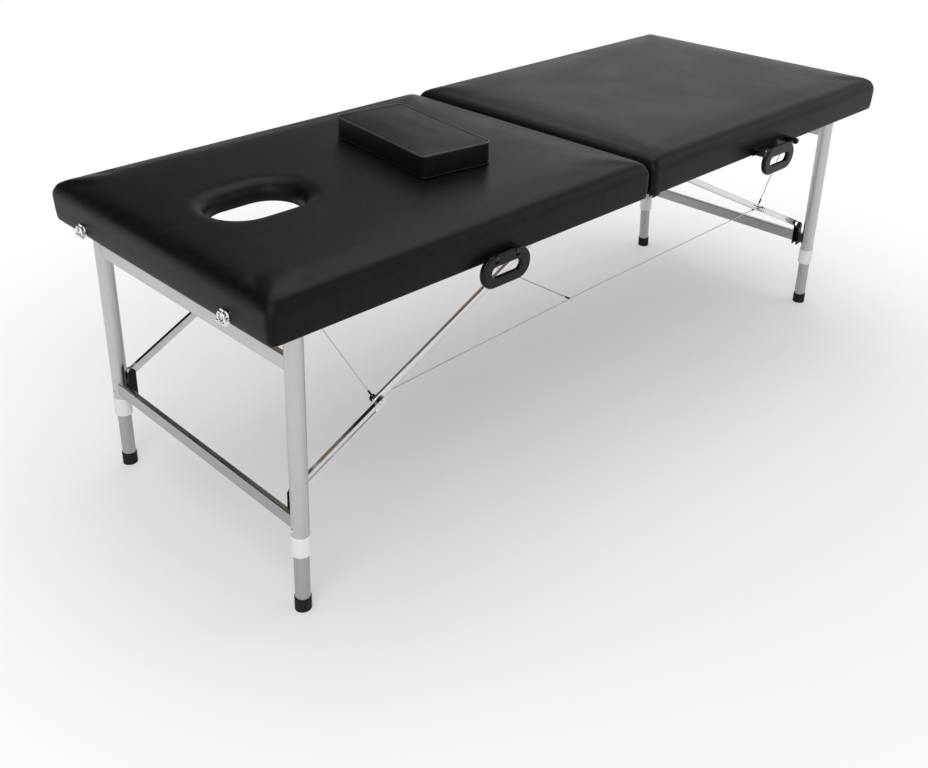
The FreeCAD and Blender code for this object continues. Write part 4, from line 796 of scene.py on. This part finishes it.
def sew_cover(half):
    """Cover of one half over its padding, with its hem under the rails."""
    size = sizes()
    node_low, node_high = (Vector(corner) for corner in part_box(f"{half}_cushion"))
    swell = size.padding_swell
    ease = Vector((size.cover_ease, size.cover_ease, 0.0))
    low = node_low + ease
    high = node_high - ease - Vector((0.0, 0.0, swell))
    rim = node_low.z - size.hem_thickness
    piece = padded_block(half, low, high, rim)
    if half == "head":
        cut_away(piece, face_hole_cutter(high.z))
    remesh(piece, size.cover_voxel)
    with editing(piece, "FACE"):
        bpy.ops.mesh.select_all(action="SELECT")
        bpy.ops.mesh.bisect(plane_co=(0, 0, rim), plane_no=(0, 0, 1), clear_inner=True)
        if half == "head":
            pick("faces", round_the_hole(high.z))
            bpy.ops.mesh.bisect(plane_co=(0, 0, INSIDE_BOARD), plane_no=(0, 0, 1), clear_inner=True)
    gather_corners(piece, low, high, rim)
    free_height = 0.01
    held = hold_by(piece, lambda place: (BOARD_TOP + free_height - place.z) / free_height)
    puff(piece, held, swell)
    finish_with(piece, "SMOOTH", factor=0.5, iterations=12, vertex_group=held, invert_vertex_group=True)
    with editing(piece, "EDGE"):
        turn_hem_under(rim)
    finish_with(piece, "SUBSURF", levels=1, render_levels=1)
    with editing(piece, "EDGE"):
        close_inside(rim)
    shade(piece)
    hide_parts(f"{half}_cushion")
    dress(piece, f"{half}_panel", finish("cover_leatherette"))


def welt_ring(name, width, depth, level, bend):
    """A welt round a rounded rectangle, as a cord that is then made a mesh."""
    bpy.ops.object.select_all(action="DESELECT")
    bpy.ops.mesh.primitive_plane_add(size=1.0, location=(0, 0, level))
    ring = name_piece(name)
    ring.scale = (width, depth, 1.0)
    bpy.ops.object.transform_apply(location=True, rotation=True, scale=True)
    with editing(ring, "VERT"):
        bpy.ops.mesh.select_all(action="SELECT")
        bpy.ops.mesh.bevel(offset=bend, segments=7, affect="VERTICES")
        bpy.ops.mesh.subdivide(number_cuts=1)
        bpy.ops.mesh.delete(type="ONLY_FACE")
    bpy.ops.object.convert(target="CURVE")
    curve = bpy.context.active_object.data
    curve.bevel_depth = sizes().welt_radius
    curve.bevel_resolution = 2
    bpy.ops.object.convert(target="MESH")
    return name_piece(name)


def seam_hold(width, depth, floor, top):
    """A weight that holds the pillow's cloth near its seams and where it rests."""
    seam, free_width = 0.004, 0.006
    resting_height, resting_fade = 0.006, 0.004
    level = (top + floor) / 2
    half_height = (top - floor) / 2

    def weight(place):
        near_side = min(width / 2 - abs(place.x), depth / 2 - abs(place.y))
        near_edge = max(near_side, half_height - abs(place.z - level))
        by_the_seam = 1.0 - (near_edge - seam) / free_width
        by_the_floor = (floor + resting_height - place.z) / resting_fade
        return max(by_the_seam, by_the_floor)

    return weight


def pillow_pad(width, depth, floor, top):
    """Boxed pad of the pillow about the Z axis, puffed between its seams and drawn in at its waist."""
    size = sizes()
    swell = size.pillow_swell
    edge_bevel = 0.003
    mesh_size = 0.004
    start = (-width / 2 + swell / 2, -depth / 2 + swell / 2, floor)
    pad = add_block("pillow_cover", start, (width / 2 - swell / 2, depth / 2 - swell / 2, top))
    with editing(pad, "EDGE"):
        pick("edges", stands_upright)
        bpy.ops.mesh.bevel(offset=size.pillow_corner, segments=6, affect="EDGES")
        pick("edges", lambda edge: lies_at(top)(edge) or lies_at(floor)(edge))
        bpy.ops.mesh.bevel(offset=edge_bevel, segments=2, affect="EDGES")
    remesh(pad, mesh_size)
    puff(pad, hold_by(pad, seam_hold(width, depth, floor, top)), swell)
    for vertex in pad.data.vertices:
        place = vertex.co
        for axis, span, across, other in ((0, width, 1, depth), (1, depth, 0, width)):
            bow = 1.0 - (2 * place[across] / other) ** 2
            place[axis] -= place[axis] / (span / 2) * size.pillow_waist * bow
    finish_with(pad, "SUBSURF", levels=1, render_levels=1)
    shade(pad)
    return pad


def pillow_welt(tier, width, depth, height):
    """Welt along the upper or lower seam of the pillow, drawn in with its waist."""
    size = sizes()
    swell = size.pillow_swell
    welt = welt_ring(f"pillow_{tier}_welt", width - swell, depth - swell, height, size.pillow_corner)
    for vertex in welt.data.vertices:
        place = vertex.co
        bow_x = 1.0 - (2 * place.y / depth) ** 2
        bow_y = 1.0 - (2 * place.x / width) ** 2
        place.x -= place.x / (width / 2) * size.pillow_waist * bow_x
        place.y -= place.y / (depth / 2) * size.pillow_waist * bow_y
    shade(welt)
    return welt


def sew_pillow():
    """Loose pillow: a boxed pad with welted edges, resting on the head half."""
    size = sizes()
    low, high = (Vector(corner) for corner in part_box("head_pillow"))
    middle = (low + high) / 2
    width, depth = size.pillow_width, size.pillow_length
    floor, top = low.z, high.z - size.pillow_swell
    upper_seam, lower_seam = top - 0.0008, floor + 0.0022
    pad = pillow_pad(width, depth, floor, top)
    upper_welt = pillow_welt("upper", width, depth, upper_seam)
    lower_welt = pillow_welt("lower", width, depth, lower_seam)
    for item in (pad, upper_welt, lower_welt):
        make_active(item)
        item.location = (middle.x, middle.y, 0.0)
        item.rotation_euler.z = size.pillow_turn
        bpy.ops.object.transform_apply(location=True, rotation=True, scale=True)
    dress(pad, "pillow", finish("pillow_leatherette"))
    # The upper welt takes the lighter copy, a painted highlight; the lower welt keeps the pillow's own
    # leatherette.
    dress(upper_welt, "pillow", finish("welt_leatherette"))
    dress(lower_welt, "pillow", finish("pillow_leatherette"))
    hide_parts("head_pillow")


def stay_spine(half, end):
    """Middles of the two rounded ends of a packed upper stay: its elbow and its anchor."""
    low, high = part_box(f"{half}_upper_stay_{end}")
    reaches = [low[0] + STAY_ROUND, high[0] - STAY_ROUND]
    if half == "foot":
        reaches.reverse()
    elbow = Vector((reaches[0], 0.0, low[2] + STAY_ROUND))
    anchor = Vector((reaches[1], 0.0, high[2] - STAY_ROUND))
    return elbow, anchor


def outline_edges(half, end, outer):
    """A test for the sharp edges round a stay's outer or inner face, without holes, rivet and channel."""
    elbow, anchor = stay_spine(half, end)
    run = anchor - elbow
    half_way = sum(abs(corner[1]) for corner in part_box(f"{half}_upper_stay_{end}")) / 2
    nearest = 0.9 * STAY_ROUND
    sharp = math.radians(50)

    def rounds_the_bar(edge):
        spot = (edge.verts[0].co + edge.verts[1].co) / 2 - elbow
        spot.y = 0.0
        share = min(1.0, max(0.0, spot.dot(run) / run.length_squared))
        from_spine = (spot - run * share).length
        on_that_face = (abs(edge.verts[0].co.y) > half_way) == outer
        return on_that_face and from_spine > nearest and edge.calc_face_angle(0.0) > sharp

    return rounds_the_bar


def roll_stays():
    """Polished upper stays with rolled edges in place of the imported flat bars."""
    for half, end in product(HALVES, ENDS):
        node = f"{half}_upper_stay_{end}"
        bar = bpy.data.objects.new(f"{node}_rolled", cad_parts[node].data.copy())
        bpy.context.scene.collection.objects.link(bar)
        make_active(bar)
        bpy.ops.mesh.customdata_custom_splitnormals_clear()
        with editing(bar, "VERT"):
            bpy.ops.mesh.select_all(action="SELECT")
            bpy.ops.mesh.remove_doubles(threshold=SAME_PLACE)
            bpy.ops.mesh.dissolve_limited(angle_limit=math.radians(1))
        with editing(bar, "EDGE"):
            for outer, roll in ((True, sizes().stay_roll), (False, sizes().stay_inner_roll)):
                pick("edges", outline_edges(half, end, outer))
                bpy.ops.mesh.bevel(offset=roll, segments=5, affect="EDGES", clamp_overlap=False)
        shade(bar, 40)
        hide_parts(node)
        dress(bar, f"{half}_upper_stays", finish("polished_stay"))


def cable_runs():
    """Start and end of every cable, by half."""
    runs = {"head": [], "foot": []}
    anchor_reach = {
        "head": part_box("head_cables")[0][0] + sizes().rope_radius,
        "foot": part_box("foot_cables")[1][0] - sizes().rope_radius,
    }
    tie_place = -0.093
    ties = []
    side = {"head": 0.2594, "foot": 0.2214}
    beside_hinges = 0.2335
    below_board = 0.003
    for end in ENDS:
        sign = SIDE_OF_END[end]
        elbows = {}
        for half in HALVES:
            elbow, _ = stay_spine(half, end)
            elbow.y = sign * side[half]
            elbows[half] = elbow
            anchor = Vector((anchor_reach[half], sign * side[half], BOARD_UNDER - below_board))
            runs[half].append((elbow, anchor))
        middle = Vector((0.0, sign * beside_hinges, (elbows["head"].z + elbows["foot"].z) / 2))
        for half in HALVES:
            runs[half].append((elbows[half], middle))
        ties.append(elbows["head"].lerp(middle, 1.0 - tie_place / elbows["head"].x))
    runs["head"].append((ties[0], ties[1]))
    return runs


def laid_along(piece, start, run):
    """Turn a piece built along Z into a run from a start, and apply its place."""
    make_active(piece)
    piece.location = start
    piece.rotation_euler = run.to_track_quat("Z", "Y").to_euler()
    bpy.ops.object.transform_apply(location=True, rotation=True, scale=True)
    return piece


def twisted_rope(name, start, end):
    """Stranded rope between two points: a lobed outline screwed along its run."""
    size = sizes()
    run = end - start
    bpy.ops.object.select_all(action="DESELECT")
    points_per_strand = 3
    groove = 0.72
    corners = points_per_strand * size.rope_strands
    bpy.ops.mesh.primitive_circle_add(vertices=corners, radius=size.rope_radius)
    rope = name_piece(name)
    with editing(rope, "VERT"):
        pick("verts", lambda vertex: vertex.index % points_per_strand == 0)
        bpy.ops.transform.resize(value=(groove, groove, 1.0), center_override=(0, 0, 0))
    turns = max(1, round(run.length / size.rope_lay))
    finish_with(
        rope, "SCREW", axis="Z", angle=math.tau, screw_offset=run.length / turns, iterations=turns,
        steps=9, render_steps=9, use_merge_vertices=False, use_smooth_shade=True,
    )
    with editing(rope, "EDGE"):
        close_openings()
    return laid_along(rope, start, run)


def ferrule(name, place, run):
    """Crimped sleeve on a cable end."""
    radius, sleeve_length = 0.0021, 0.012
    mouth, softened = 0.0006, 0.0004
    bpy.ops.object.select_all(action="DESELECT")
    bpy.ops.mesh.primitive_cylinder_add(vertices=16, radius=radius, depth=sleeve_length)
    sleeve = name_piece(name)
    with editing(sleeve, "FACE"):
        pick("faces", lambda face: abs(face.normal.z) > FACING)
        bpy.ops.mesh.inset(thickness=mouth)
        bpy.ops.mesh.select_mode(type="EDGE")
        pick("edges", lambda edge: stands_upright(edge) and edge.verts[0].index % 2 == 0)
        bpy.ops.mesh.subdivide(number_cuts=2)
    finish_with(sleeve, "BEVEL", width=softened, segments=2, limit_method="ANGLE")
    return laid_along(sleeve, place, run)


def string_cables():
    """Wire rope of both halves with its sleeves."""
    from_tie, from_elbow = 0.007, 0.018
    for half, runs in cable_runs().items():
        pieces = []
        for index, (start, end) in enumerate(runs):
            pieces.append(twisted_rope(f"{half}_rope_{index}", start, end))
        web = joined(f"{half}_cable_web", pieces)
        sleeves = []
        for index, (start, end) in enumerate(runs):
            run = (end - start).normalized()
            crosses = abs(run.y) > FACING
            reach = from_tie if crosses else from_elbow
            sleeves.append(ferrule(f"{half}_sleeve_{index}", start + run * reach, run))
            if crosses:
                sleeves.append(ferrule(f"{half}_sleeve_{index}_far", end - run * reach, run))
        sleeve_set = joined(f"{half}_cable_sleeves", sleeves)
        shade(sleeve_set, 40)
        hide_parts(f"{half}_cables")
        dress(web, f"{half}_panel", finish("wire_strand"))
        dress(sleeve_set, f"{half}_panel", finish("gloss_black"))
        for item in (web, sleeve_set):
            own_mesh(item)


def round_cap(name, radius, thickness):
    """Round cap with a domed face and a dimple, facing +Z from the origin."""
    rim, dome = radius * 0.45, thickness * 0.08
    shoulder, dimple = radius * 0.12, thickness * 0.2
    softened, sharp = radius * 0.14, math.radians(35)
    cap = add_disc(name, 28, radius, thickness)
    with editing(cap, "FACE"):
        pick("faces", lambda face: face.normal.z > FACING)
        bpy.ops.mesh.inset(thickness=rim)
        bpy.ops.transform.translate(value=(0, 0, dome))
        bpy.ops.mesh.inset(thickness=shoulder)
        bpy.ops.transform.translate(value=(0, 0, -dimple))
    finish_with(cap, "BEVEL", width=softened, segments=3, limit_method="ANGLE", angle_limit=sharp)
    shade(cap, 45)
    return cap


def fit_cable_ends():
    """Black end caps on the elbows and black saddles where the short cables meet the boards."""
    rivet = 0.0018
    cap_radius, cap_height = 0.0072, 0.0085
    runs = cable_runs()
    for half in HALVES:
        caps = []
        saddles = []
        for end in ENDS:
            sign = SIDE_OF_END[end]
            low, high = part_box(f"{half}_upper_stay_{end}")
            elbow, _ = stay_spine(half, end)
            inner = (low if sign > 0 else high)[1]
            cap = round_cap(f"{half}_cap_{end}", cap_radius, cap_height)
            elbow.y = inner + sign * rivet
            caps.append(laid_along(cap, elbow, Vector((0, -sign, 0))))
            anchor = runs[half][2 * ENDS.index(end)][1]
            saddles.append(board_saddle(f"{half}_saddle_{end}", anchor))
        cap_set = joined(f"{half}_elbow_caps", caps)
        dress(cap_set, f"{half}_upper_stays", finish("gloss_black"))
        saddle_set = joined(f"{half}_cable_saddles", saddles)
        shade(saddle_set, 40)
        dress(saddle_set, f"{half}_panel", finish("gloss_black"))


def board_saddle(name, anchor):
    """Small clip that holds a cable end under the board: a foot plate and a raised bridge."""
    half_length, half_width = 0.011, 0.006
    foot, ledge = 0.0022, 0.0025
    bridge_share, bridge_rise, bridge_taper = 0.55, 0.0035, 0.8
    softened = 0.0006
    low = (anchor.x - half_length, anchor.y - half_width, BOARD_UNDER - foot)
    high = (anchor.x + half_length, anchor.y + half_width, BOARD_UNDER)
    saddle = add_block(name, low, high)
    with editing(saddle, "FACE"):
        pick("faces", lambda face: face.normal.z < -FACING)
        bpy.ops.mesh.inset(thickness=ledge)
        middle = (anchor.x, anchor.y, BOARD_UNDER - foot)
        bpy.ops.transform.resize(value=(bridge_share, 1.0, 1.0), center_override=middle)
        bpy.ops.mesh.extrude_region_move(TRANSFORM_OT_translate={"value": (0, 0, -bridge_rise)})
        bpy.ops.transform.resize(value=(bridge_taper, bridge_taper, 1.0), center_override=middle)
    finish_with(saddle, "BEVEL", width=softened, segments=2, limit_method="ANGLE")
    return saddle


def screw_seats(node):
    """Centre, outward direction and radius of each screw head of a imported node."""
    shape = bmesh.new()
    shape.from_mesh(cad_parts[node].data)
    bmesh.ops.remove_doubles(shape, verts=shape.verts, dist=SAME_PLACE)
    left = set(shape.verts)
    seats = []
    while left:
        island = [left.pop()]
        for vertex in island:
            for edge in vertex.link_edges:
                other = edge.other_vert(vertex)
                if other in left:
                    left.remove(other)
                    island.append(other)
        low = Vector(min(vertex.co[axis] for vertex in island) for axis in range(3))
        high = Vector(max(vertex.co[axis] for vertex in island) for axis in range(3))
        span = high - low
        axis = min(range(3), key=lambda index: span[index])
        middle = (low + high) / 2
        # Screws along X face away from the middle of the table, the others face the front or down.
        outward = Vector((0, 0, 0))
        outward[axis] = math.copysign(1, middle.x) if axis == 0 else -1
        seat = middle - outward * span[axis] / 2
        seats.append((seat, outward, max(span) / 2))
    shape.free()
    return sorted(seats, key=lambda seat: tuple(round(value, 4) for value in seat[0]))


def screw_head(name, radius):
    """Pan head with a cross recess, facing +Z from the origin."""
    height = radius * 0.45
    dome = height * 0.8
    recess_floor, recess_top = height * 0.45, height * 2
    reach, breadth = radius * 0.52, radius * 0.1
    head = add_disc(name, 20, radius, height)
    with editing(head, "EDGE"):
        pick("edges", lies_at(height))
        bpy.ops.mesh.bevel(offset=dome, segments=3, affect="EDGES")
    arms = []
    for index, turn in enumerate((0.0, math.pi / 2)):
        low, high = (-reach, -breadth, recess_floor), (reach, breadth, recess_top)
        arm = add_block(f"{name}_arm_{index}", low, high)
        arm.rotation_euler.z = turn
        bpy.ops.object.transform_apply(location=True, rotation=True, scale=True)
        arms.append(arm)
    for arm in arms:
        cut_away(head, arm)
    shade(head, 35)
    return head


def drive_screws():
    """Cross-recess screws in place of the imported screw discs."""
    turn_between = 0.7
    for half in HALVES:
        node = f"{half}_screws"
        seats = screw_seats(node)
        first = screw_head(f"{half}_screw", seats[0][2])
        copies = []
        for index, (seat, outward, _) in enumerate(seats):
            copy = copied(first, f"{half}_screw_{index}")
            spin = Matrix.Rotation(index * turn_between, 4, "Z")
            copy.data.transform(spin)
            copies.append(laid_along(copy, seat, outward))
        bpy.data.objects.remove(first)
        heads = joined(f"{half}_screw_heads", copies)
        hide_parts(node)
        dress(heads, f"{half}_panel", finish("dark_screw"))


def staple_shape():
    """One staple seen from below: a flat crown with two bent shoulders, facing -Z."""
    half_length, half_width, wire = 0.005, 0.0006, 0.0005
    shoulder, softened = 0.0004, 0.00015
    low, high = (-half_length, -half_width, -wire), (half_length, half_width, 0.0)
    staple = add_block("hem_staple", low, high)
    with editing(staple, "FACE"):
        pick("faces", lambda face: abs(face.normal.x) > FACING)
        bpy.ops.mesh.extrude_region_move(TRANSFORM_OT_translate={"value": (0, 0, shoulder)})
    finish_with(staple, "BEVEL", width=softened, segments=1, limit_method="ANGLE")
    return staple


def staple_places(half):
    """Where the staples of a half's hem sit, and how each is turned."""
    size = sizes()
    low, high = (Vector(corner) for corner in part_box(f"{half}_cushion"))
    inset = size.rim_tuck + size.hem_width * 0.6
    sway, sway_step, sway_shift = 0.18, 5.3, 40
    places = []
    for axis, across in ((0, 1), (1, 0)):
        first, last = low[axis] + size.corner_radius, high[axis] - size.corner_radius
        count = int((last - first) / size.staple_pitch)
        for edge in (low[across] + inset, high[across] - inset):
            for index in range(count + 1):
                spot = Vector((0, 0, low.z - size.hem_thickness))
                spot[axis] = first + (last - first) * index / count
                spot[across] = edge
                turn = axis * math.pi / 2 + sway * math.sin(sway_step * index + edge * sway_shift)
                places.append((spot, turn))
    return places


def staple_hems():
    """Rows of staples that hold the hems under the rails."""
    pattern = staple_shape()
    clear_of_leaves = 0.004
    for half in HALVES:
        leaves = [Vector(corner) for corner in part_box(f"{half}_hinge_leaves")]
        copies = []
        for index, (spot, turn) in enumerate(staple_places(half)):
            if leaves[0].x - clear_of_leaves < spot.x < leaves[1].x + clear_of_leaves:
                continue
            copy = copied(pattern, f"{half}_staple_{index}")
            copy.data.transform(Matrix.Translation(spot) @ Matrix.Rotation(turn, 4, "Z"))
            copies.append(copy)
        row = joined(f"{half}_hem_staples", copies)
        dress(row, f"{half}_panel", finish("zinc_plate"))
    bpy.data.objects.remove(pattern)


def set_camera():
    """Camera at the viewing angle of the reference."""
    lens = bpy.data.cameras.new("view_camera")
    lens.lens = 40.1487
    lens.sensor_width = 36.0
    lens.clip_end = 60.0
    camera = bpy.data.objects.new("view_camera", lens)
    right = (0.719478, -0.6945, 0.004631)
    up = (0.354895, 0.373374, 0.857112)
    back = (-0.596993, -0.61503, 0.515109)
    eye = (-1.61329, -1.48525, 1.28314)
    rows = [(right[i], up[i], back[i], eye[i]) for i in range(3)]
    camera.matrix_world = Matrix((*rows, (0, 0, 0, 1)))
    bpy.context.scene.collection.objects.link(camera)
    bpy.context.scene.camera = camera


def softbox(name, place, target, breadth, power):
    """A square lamp that faces a point."""
    light = bpy.data.lights.new(name, "AREA")
    light.shape = "SQUARE"
    light.size = breadth
    light.energy = power
    lamp = bpy.data.objects.new(name, light)
    lamp.location = place
    lamp.rotation_euler = (Vector(target) - Vector(place)).to_track_quat("-Z", "Y").to_euler()
    bpy.context.scene.collection.objects.link(lamp)


def seen_rays(tree):
    """1 for camera, glossy and transmission rays, 0 for the rest."""
    path = tree.nodes.new("ShaderNodeLightPath")
    seen = combine(tree, "MAXIMUM", path.outputs["Is Camera Ray"], path.outputs["Is Glossy Ray"])
    return combine(tree, "MAXIMUM", seen, path.outputs["Is Transmission Ray"])


def light_world():
    """White to the camera, dimmer in reflections overhead and at a curtain at the back, and an even fill."""
    world = bpy.data.worlds.new("studio")
    world.use_nodes = True
    bpy.context.scene.world = world
    tree = world.node_tree
    background = next(node for node in tree.nodes if node.type == "BACKGROUND")
    place = tree.nodes.new("ShaderNodeTexCoord")
    split = tree.nodes.new("ShaderNodeSeparateXYZ")
    tree.links.new(place.outputs["Generated"], split.inputs["Vector"])
    dim_above, dark_curtain = 0.3, 0.03
    curtain_side = (-0.2, 0.98, 0.0)
    overhead = spread_out(tree, split.outputs["Z"], 0.38, 0.85, 1.0, dim_above)
    towards = tree.nodes.new("ShaderNodeVectorMath")
    towards.operation = "DOT_PRODUCT"
    towards.inputs[1].default_value = curtain_side
    tree.links.new(place.outputs["Generated"], towards.inputs[0])
    behind = spread_out(tree, towards.outputs["Value"], 0.48, 0.66)
    raised = spread_out(tree, split.outputs["Z"], 0.06, 0.16)
    curtain = spread_out(tree, combine(tree, "MULTIPLY", behind, raised), 0.0, 1.0, 1.0, dark_curtain)
    mirrored = combine(tree, "MULTIPLY", overhead, curtain)
    path = tree.nodes.new("ShaderNodeLightPath")
    shown = combine(tree, "MAXIMUM", mirrored, path.outputs["Is Camera Ray"])
    fill = 0.55
    strength = spread_out(tree, seen_rays(tree), 0.0, 1.0, fill, shown)
    tree.links.new(strength, background.inputs["Strength"])
    background.inputs["Color"].default_value = (1.0, 1.0, 1.0, 1.0)


def lay_floor():
    """Pale floor that takes the shadow, glows a little near the table as painted light that lifts that
    shadow, fades to white away from the table and is clear from below.
    """
    bpy.ops.object.select_all(action="DESELECT")
    bpy.ops.mesh.primitive_grid_add(x_subdivisions=4, y_subdivisions=4, size=30.0)
    floor = name_piece("studio_floor")
    ground = Finish("studio_floor", tuple(colours().floor), Roughness=0.9, Specular_IOR_Level=0.0)
    tree = ground.tree
    place = tree.nodes.new("ShaderNodeTexCoord")
    far = tree.nodes.new("ShaderNodeVectorMath")
    far.operation = "LENGTH"
    tree.links.new(place.outputs["Object"], far.inputs[0])
    # Near the table the floor glows at glow_near of white, painted light that lightens its shadow; further
    # out the fade to white is the backdrop.
    fade_start, fade_end, glow_near = 0.75, 1.7, 0.22
    fade = spread_out(tree, far.outputs["Value"], fade_start, fade_end, glow_near, 1.0)
    share = combine(tree, "MULTIPLY", fade, seen_rays(tree))
    glow = tree.nodes.new("ShaderNodeEmission")
    mix = tree.nodes.new("ShaderNodeMixShader")
    tree.links.new(share, mix.inputs["Fac"])
    tree.links.new(ground.shader.outputs["BSDF"], mix.inputs[1])
    tree.links.new(glow.outputs["Emission"], mix.inputs[2])
    facing = tree.nodes.new("ShaderNodeNewGeometry")
    clear = tree.nodes.new("ShaderNodeBsdfTransparent")
    sides = tree.nodes.new("ShaderNodeMixShader")
    tree.links.new(facing.outputs["Backfacing"], sides.inputs["Fac"])
    tree.links.new(mix.outputs["Shader"], sides.inputs[1])
    tree.links.new(clear.outputs["BSDF"], sides.inputs[2])
    output = next(node for node in tree.nodes if node.type == "OUTPUT_MATERIAL")
    tree.links.new(sides.outputs["Shader"], output.inputs["Surface"])
    floor.data.materials.append(ground.material)


class MASSAGE_TABLE_OT_finishes(bpy.types.Operator):
    """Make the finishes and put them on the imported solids"""

    bl_idname = "massage_table.finishes"
    bl_label = "Finish the frame"

    def execute(self, context):
        make_finishes()
        for name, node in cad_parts.items():
            node.data.materials.clear()
            node.data.materials.append(finish_of_node(name))
        return {"FINISHED"}


class MASSAGE_TABLE_OT_covers(bpy.types.Operator):
    """Sew the padded covers of both halves"""

    bl_idname = "massage_table.covers"
    bl_label = "Sew the covers"

    def execute(self, context):
        for half in HALVES:
            sew_cover(half)
        return {"FINISHED"}


class MASSAGE_TABLE_OT_pillow(bpy.types.Operator):
    """Sew the loose pillow"""

    bl_idname = "massage_table.pillow"
    bl_label = "Sew the pillow"

    def execute(self, context):
        sew_pillow()
        return {"FINISHED"}


class MASSAGE_TABLE_OT_stays(bpy.types.Operator):
    """Roll the edges of the upper stays"""

    bl_idname = "massage_table.stays"
    bl_label = "Roll the stays"

    def execute(self, context):
        roll_stays()
        return {"FINISHED"}


class MASSAGE_TABLE_OT_cables(bpy.types.Operator):
    """String the bracing cables"""

    bl_idname = "massage_table.cables"
    bl_label = "String the cables"

    def execute(self, context):
        string_cables()
        return {"FINISHED"}


class MASSAGE_TABLE_OT_cable_ends(bpy.types.Operator):
    """Fit the caps and saddles that hold the cables"""

    bl_idname = "massage_table.cable_ends"
    bl_label = "Fit the cable ends"

    def execute(self, context):
        fit_cable_ends()
        return {"FINISHED"}


class MASSAGE_TABLE_OT_screws(bpy.types.Operator):
    """Drive the screws of the handles, latches and brackets"""

    bl_idname = "massage_table.screws"
    bl_label = "Drive the screws"

    def execute(self, context):
        drive_screws()
        return {"FINISHED"}


class MASSAGE_TABLE_OT_staples(bpy.types.Operator):
    """Staple the hems under the rails"""

    bl_idname = "massage_table.staples"
    bl_label = "Staple the hems"

    def execute(self, context):
        staple_hems()
        return {"FINISHED"}


class MASSAGE_TABLE_OT_stage(bpy.types.Operator):
    """Set the camera, the floor and the lights"""

    bl_idname = "massage_table.stage"
    bl_label = "Set the stage"

    def execute(self, context):
        context.scene.view_settings.view_transform = "Standard"
        set_camera()
        light_world()
        lay_floor()
        softbox("key_softbox", (-2.2, -1.6, 2.8), (0.0, 0.0, 0.4), 2.2, 42.0)
        softbox("top_softbox", (0.5, 0.5, 3.2), (0.0, 0.0, 0.4), 2.6, 40.0)
        softbox("side_softbox", (2.4, -1.8, 1.9), (0.2, 0.0, 0.4), 1.6, 8.0)
        return {"FINISHED"}


class MASSAGE_TABLE_PT_panel(bpy.types.Panel):
    """Steps and settings of the massage table"""

    bl_idname = "MASSAGE_TABLE_PT_panel"
    bl_label = "Massage table"
    bl_space_type = "VIEW_3D"
    bl_region_type = "UI"
    bl_category = "Massage table"

    def draw(self, context):
        for operator in OPERATORS:
            self.layout.operator(operator.bl_idname)
        for group in (context.scene.table_sizes, context.scene.table_colours):
            column = self.layout.column(align=True)
            for name in group.__annotations__:
                column.prop(group, name)


OPERATORS = (
    MASSAGE_TABLE_OT_finishes,
    MASSAGE_TABLE_OT_covers,
    MASSAGE_TABLE_OT_pillow,
    MASSAGE_TABLE_OT_stays,
    MASSAGE_TABLE_OT_cables,
    MASSAGE_TABLE_OT_cable_ends,
    MASSAGE_TABLE_OT_screws,
    MASSAGE_TABLE_OT_staples,
    MASSAGE_TABLE_OT_stage,
)
CLASSES = (TableSizes, TableColours, *OPERATORS, MASSAGE_TABLE_PT_panel)


def register():
    """Register the classes and give the scene its sizes and colours."""
    for item in CLASSES:
        bpy.utils.register_class(item)
    bpy.types.Scene.table_sizes = PointerProperty(type=TableSizes)
    bpy.types.Scene.table_colours = PointerProperty(type=TableColours)


def unregister():
    """Take the classes and the scene's settings away again."""
    del bpy.types.Scene.table_colours
    del bpy.types.Scene.table_sizes
    for item in reversed(CLASSES):
        bpy.utils.unregister_class(item)


def main():
    """Dress the table and set the stage."""
    register()
    for operator in OPERATORS:
        group, step = operator.bl_idname.split(".")
        getattr(getattr(bpy.ops, group), step)()


if __name__ == "__main__":
    main()
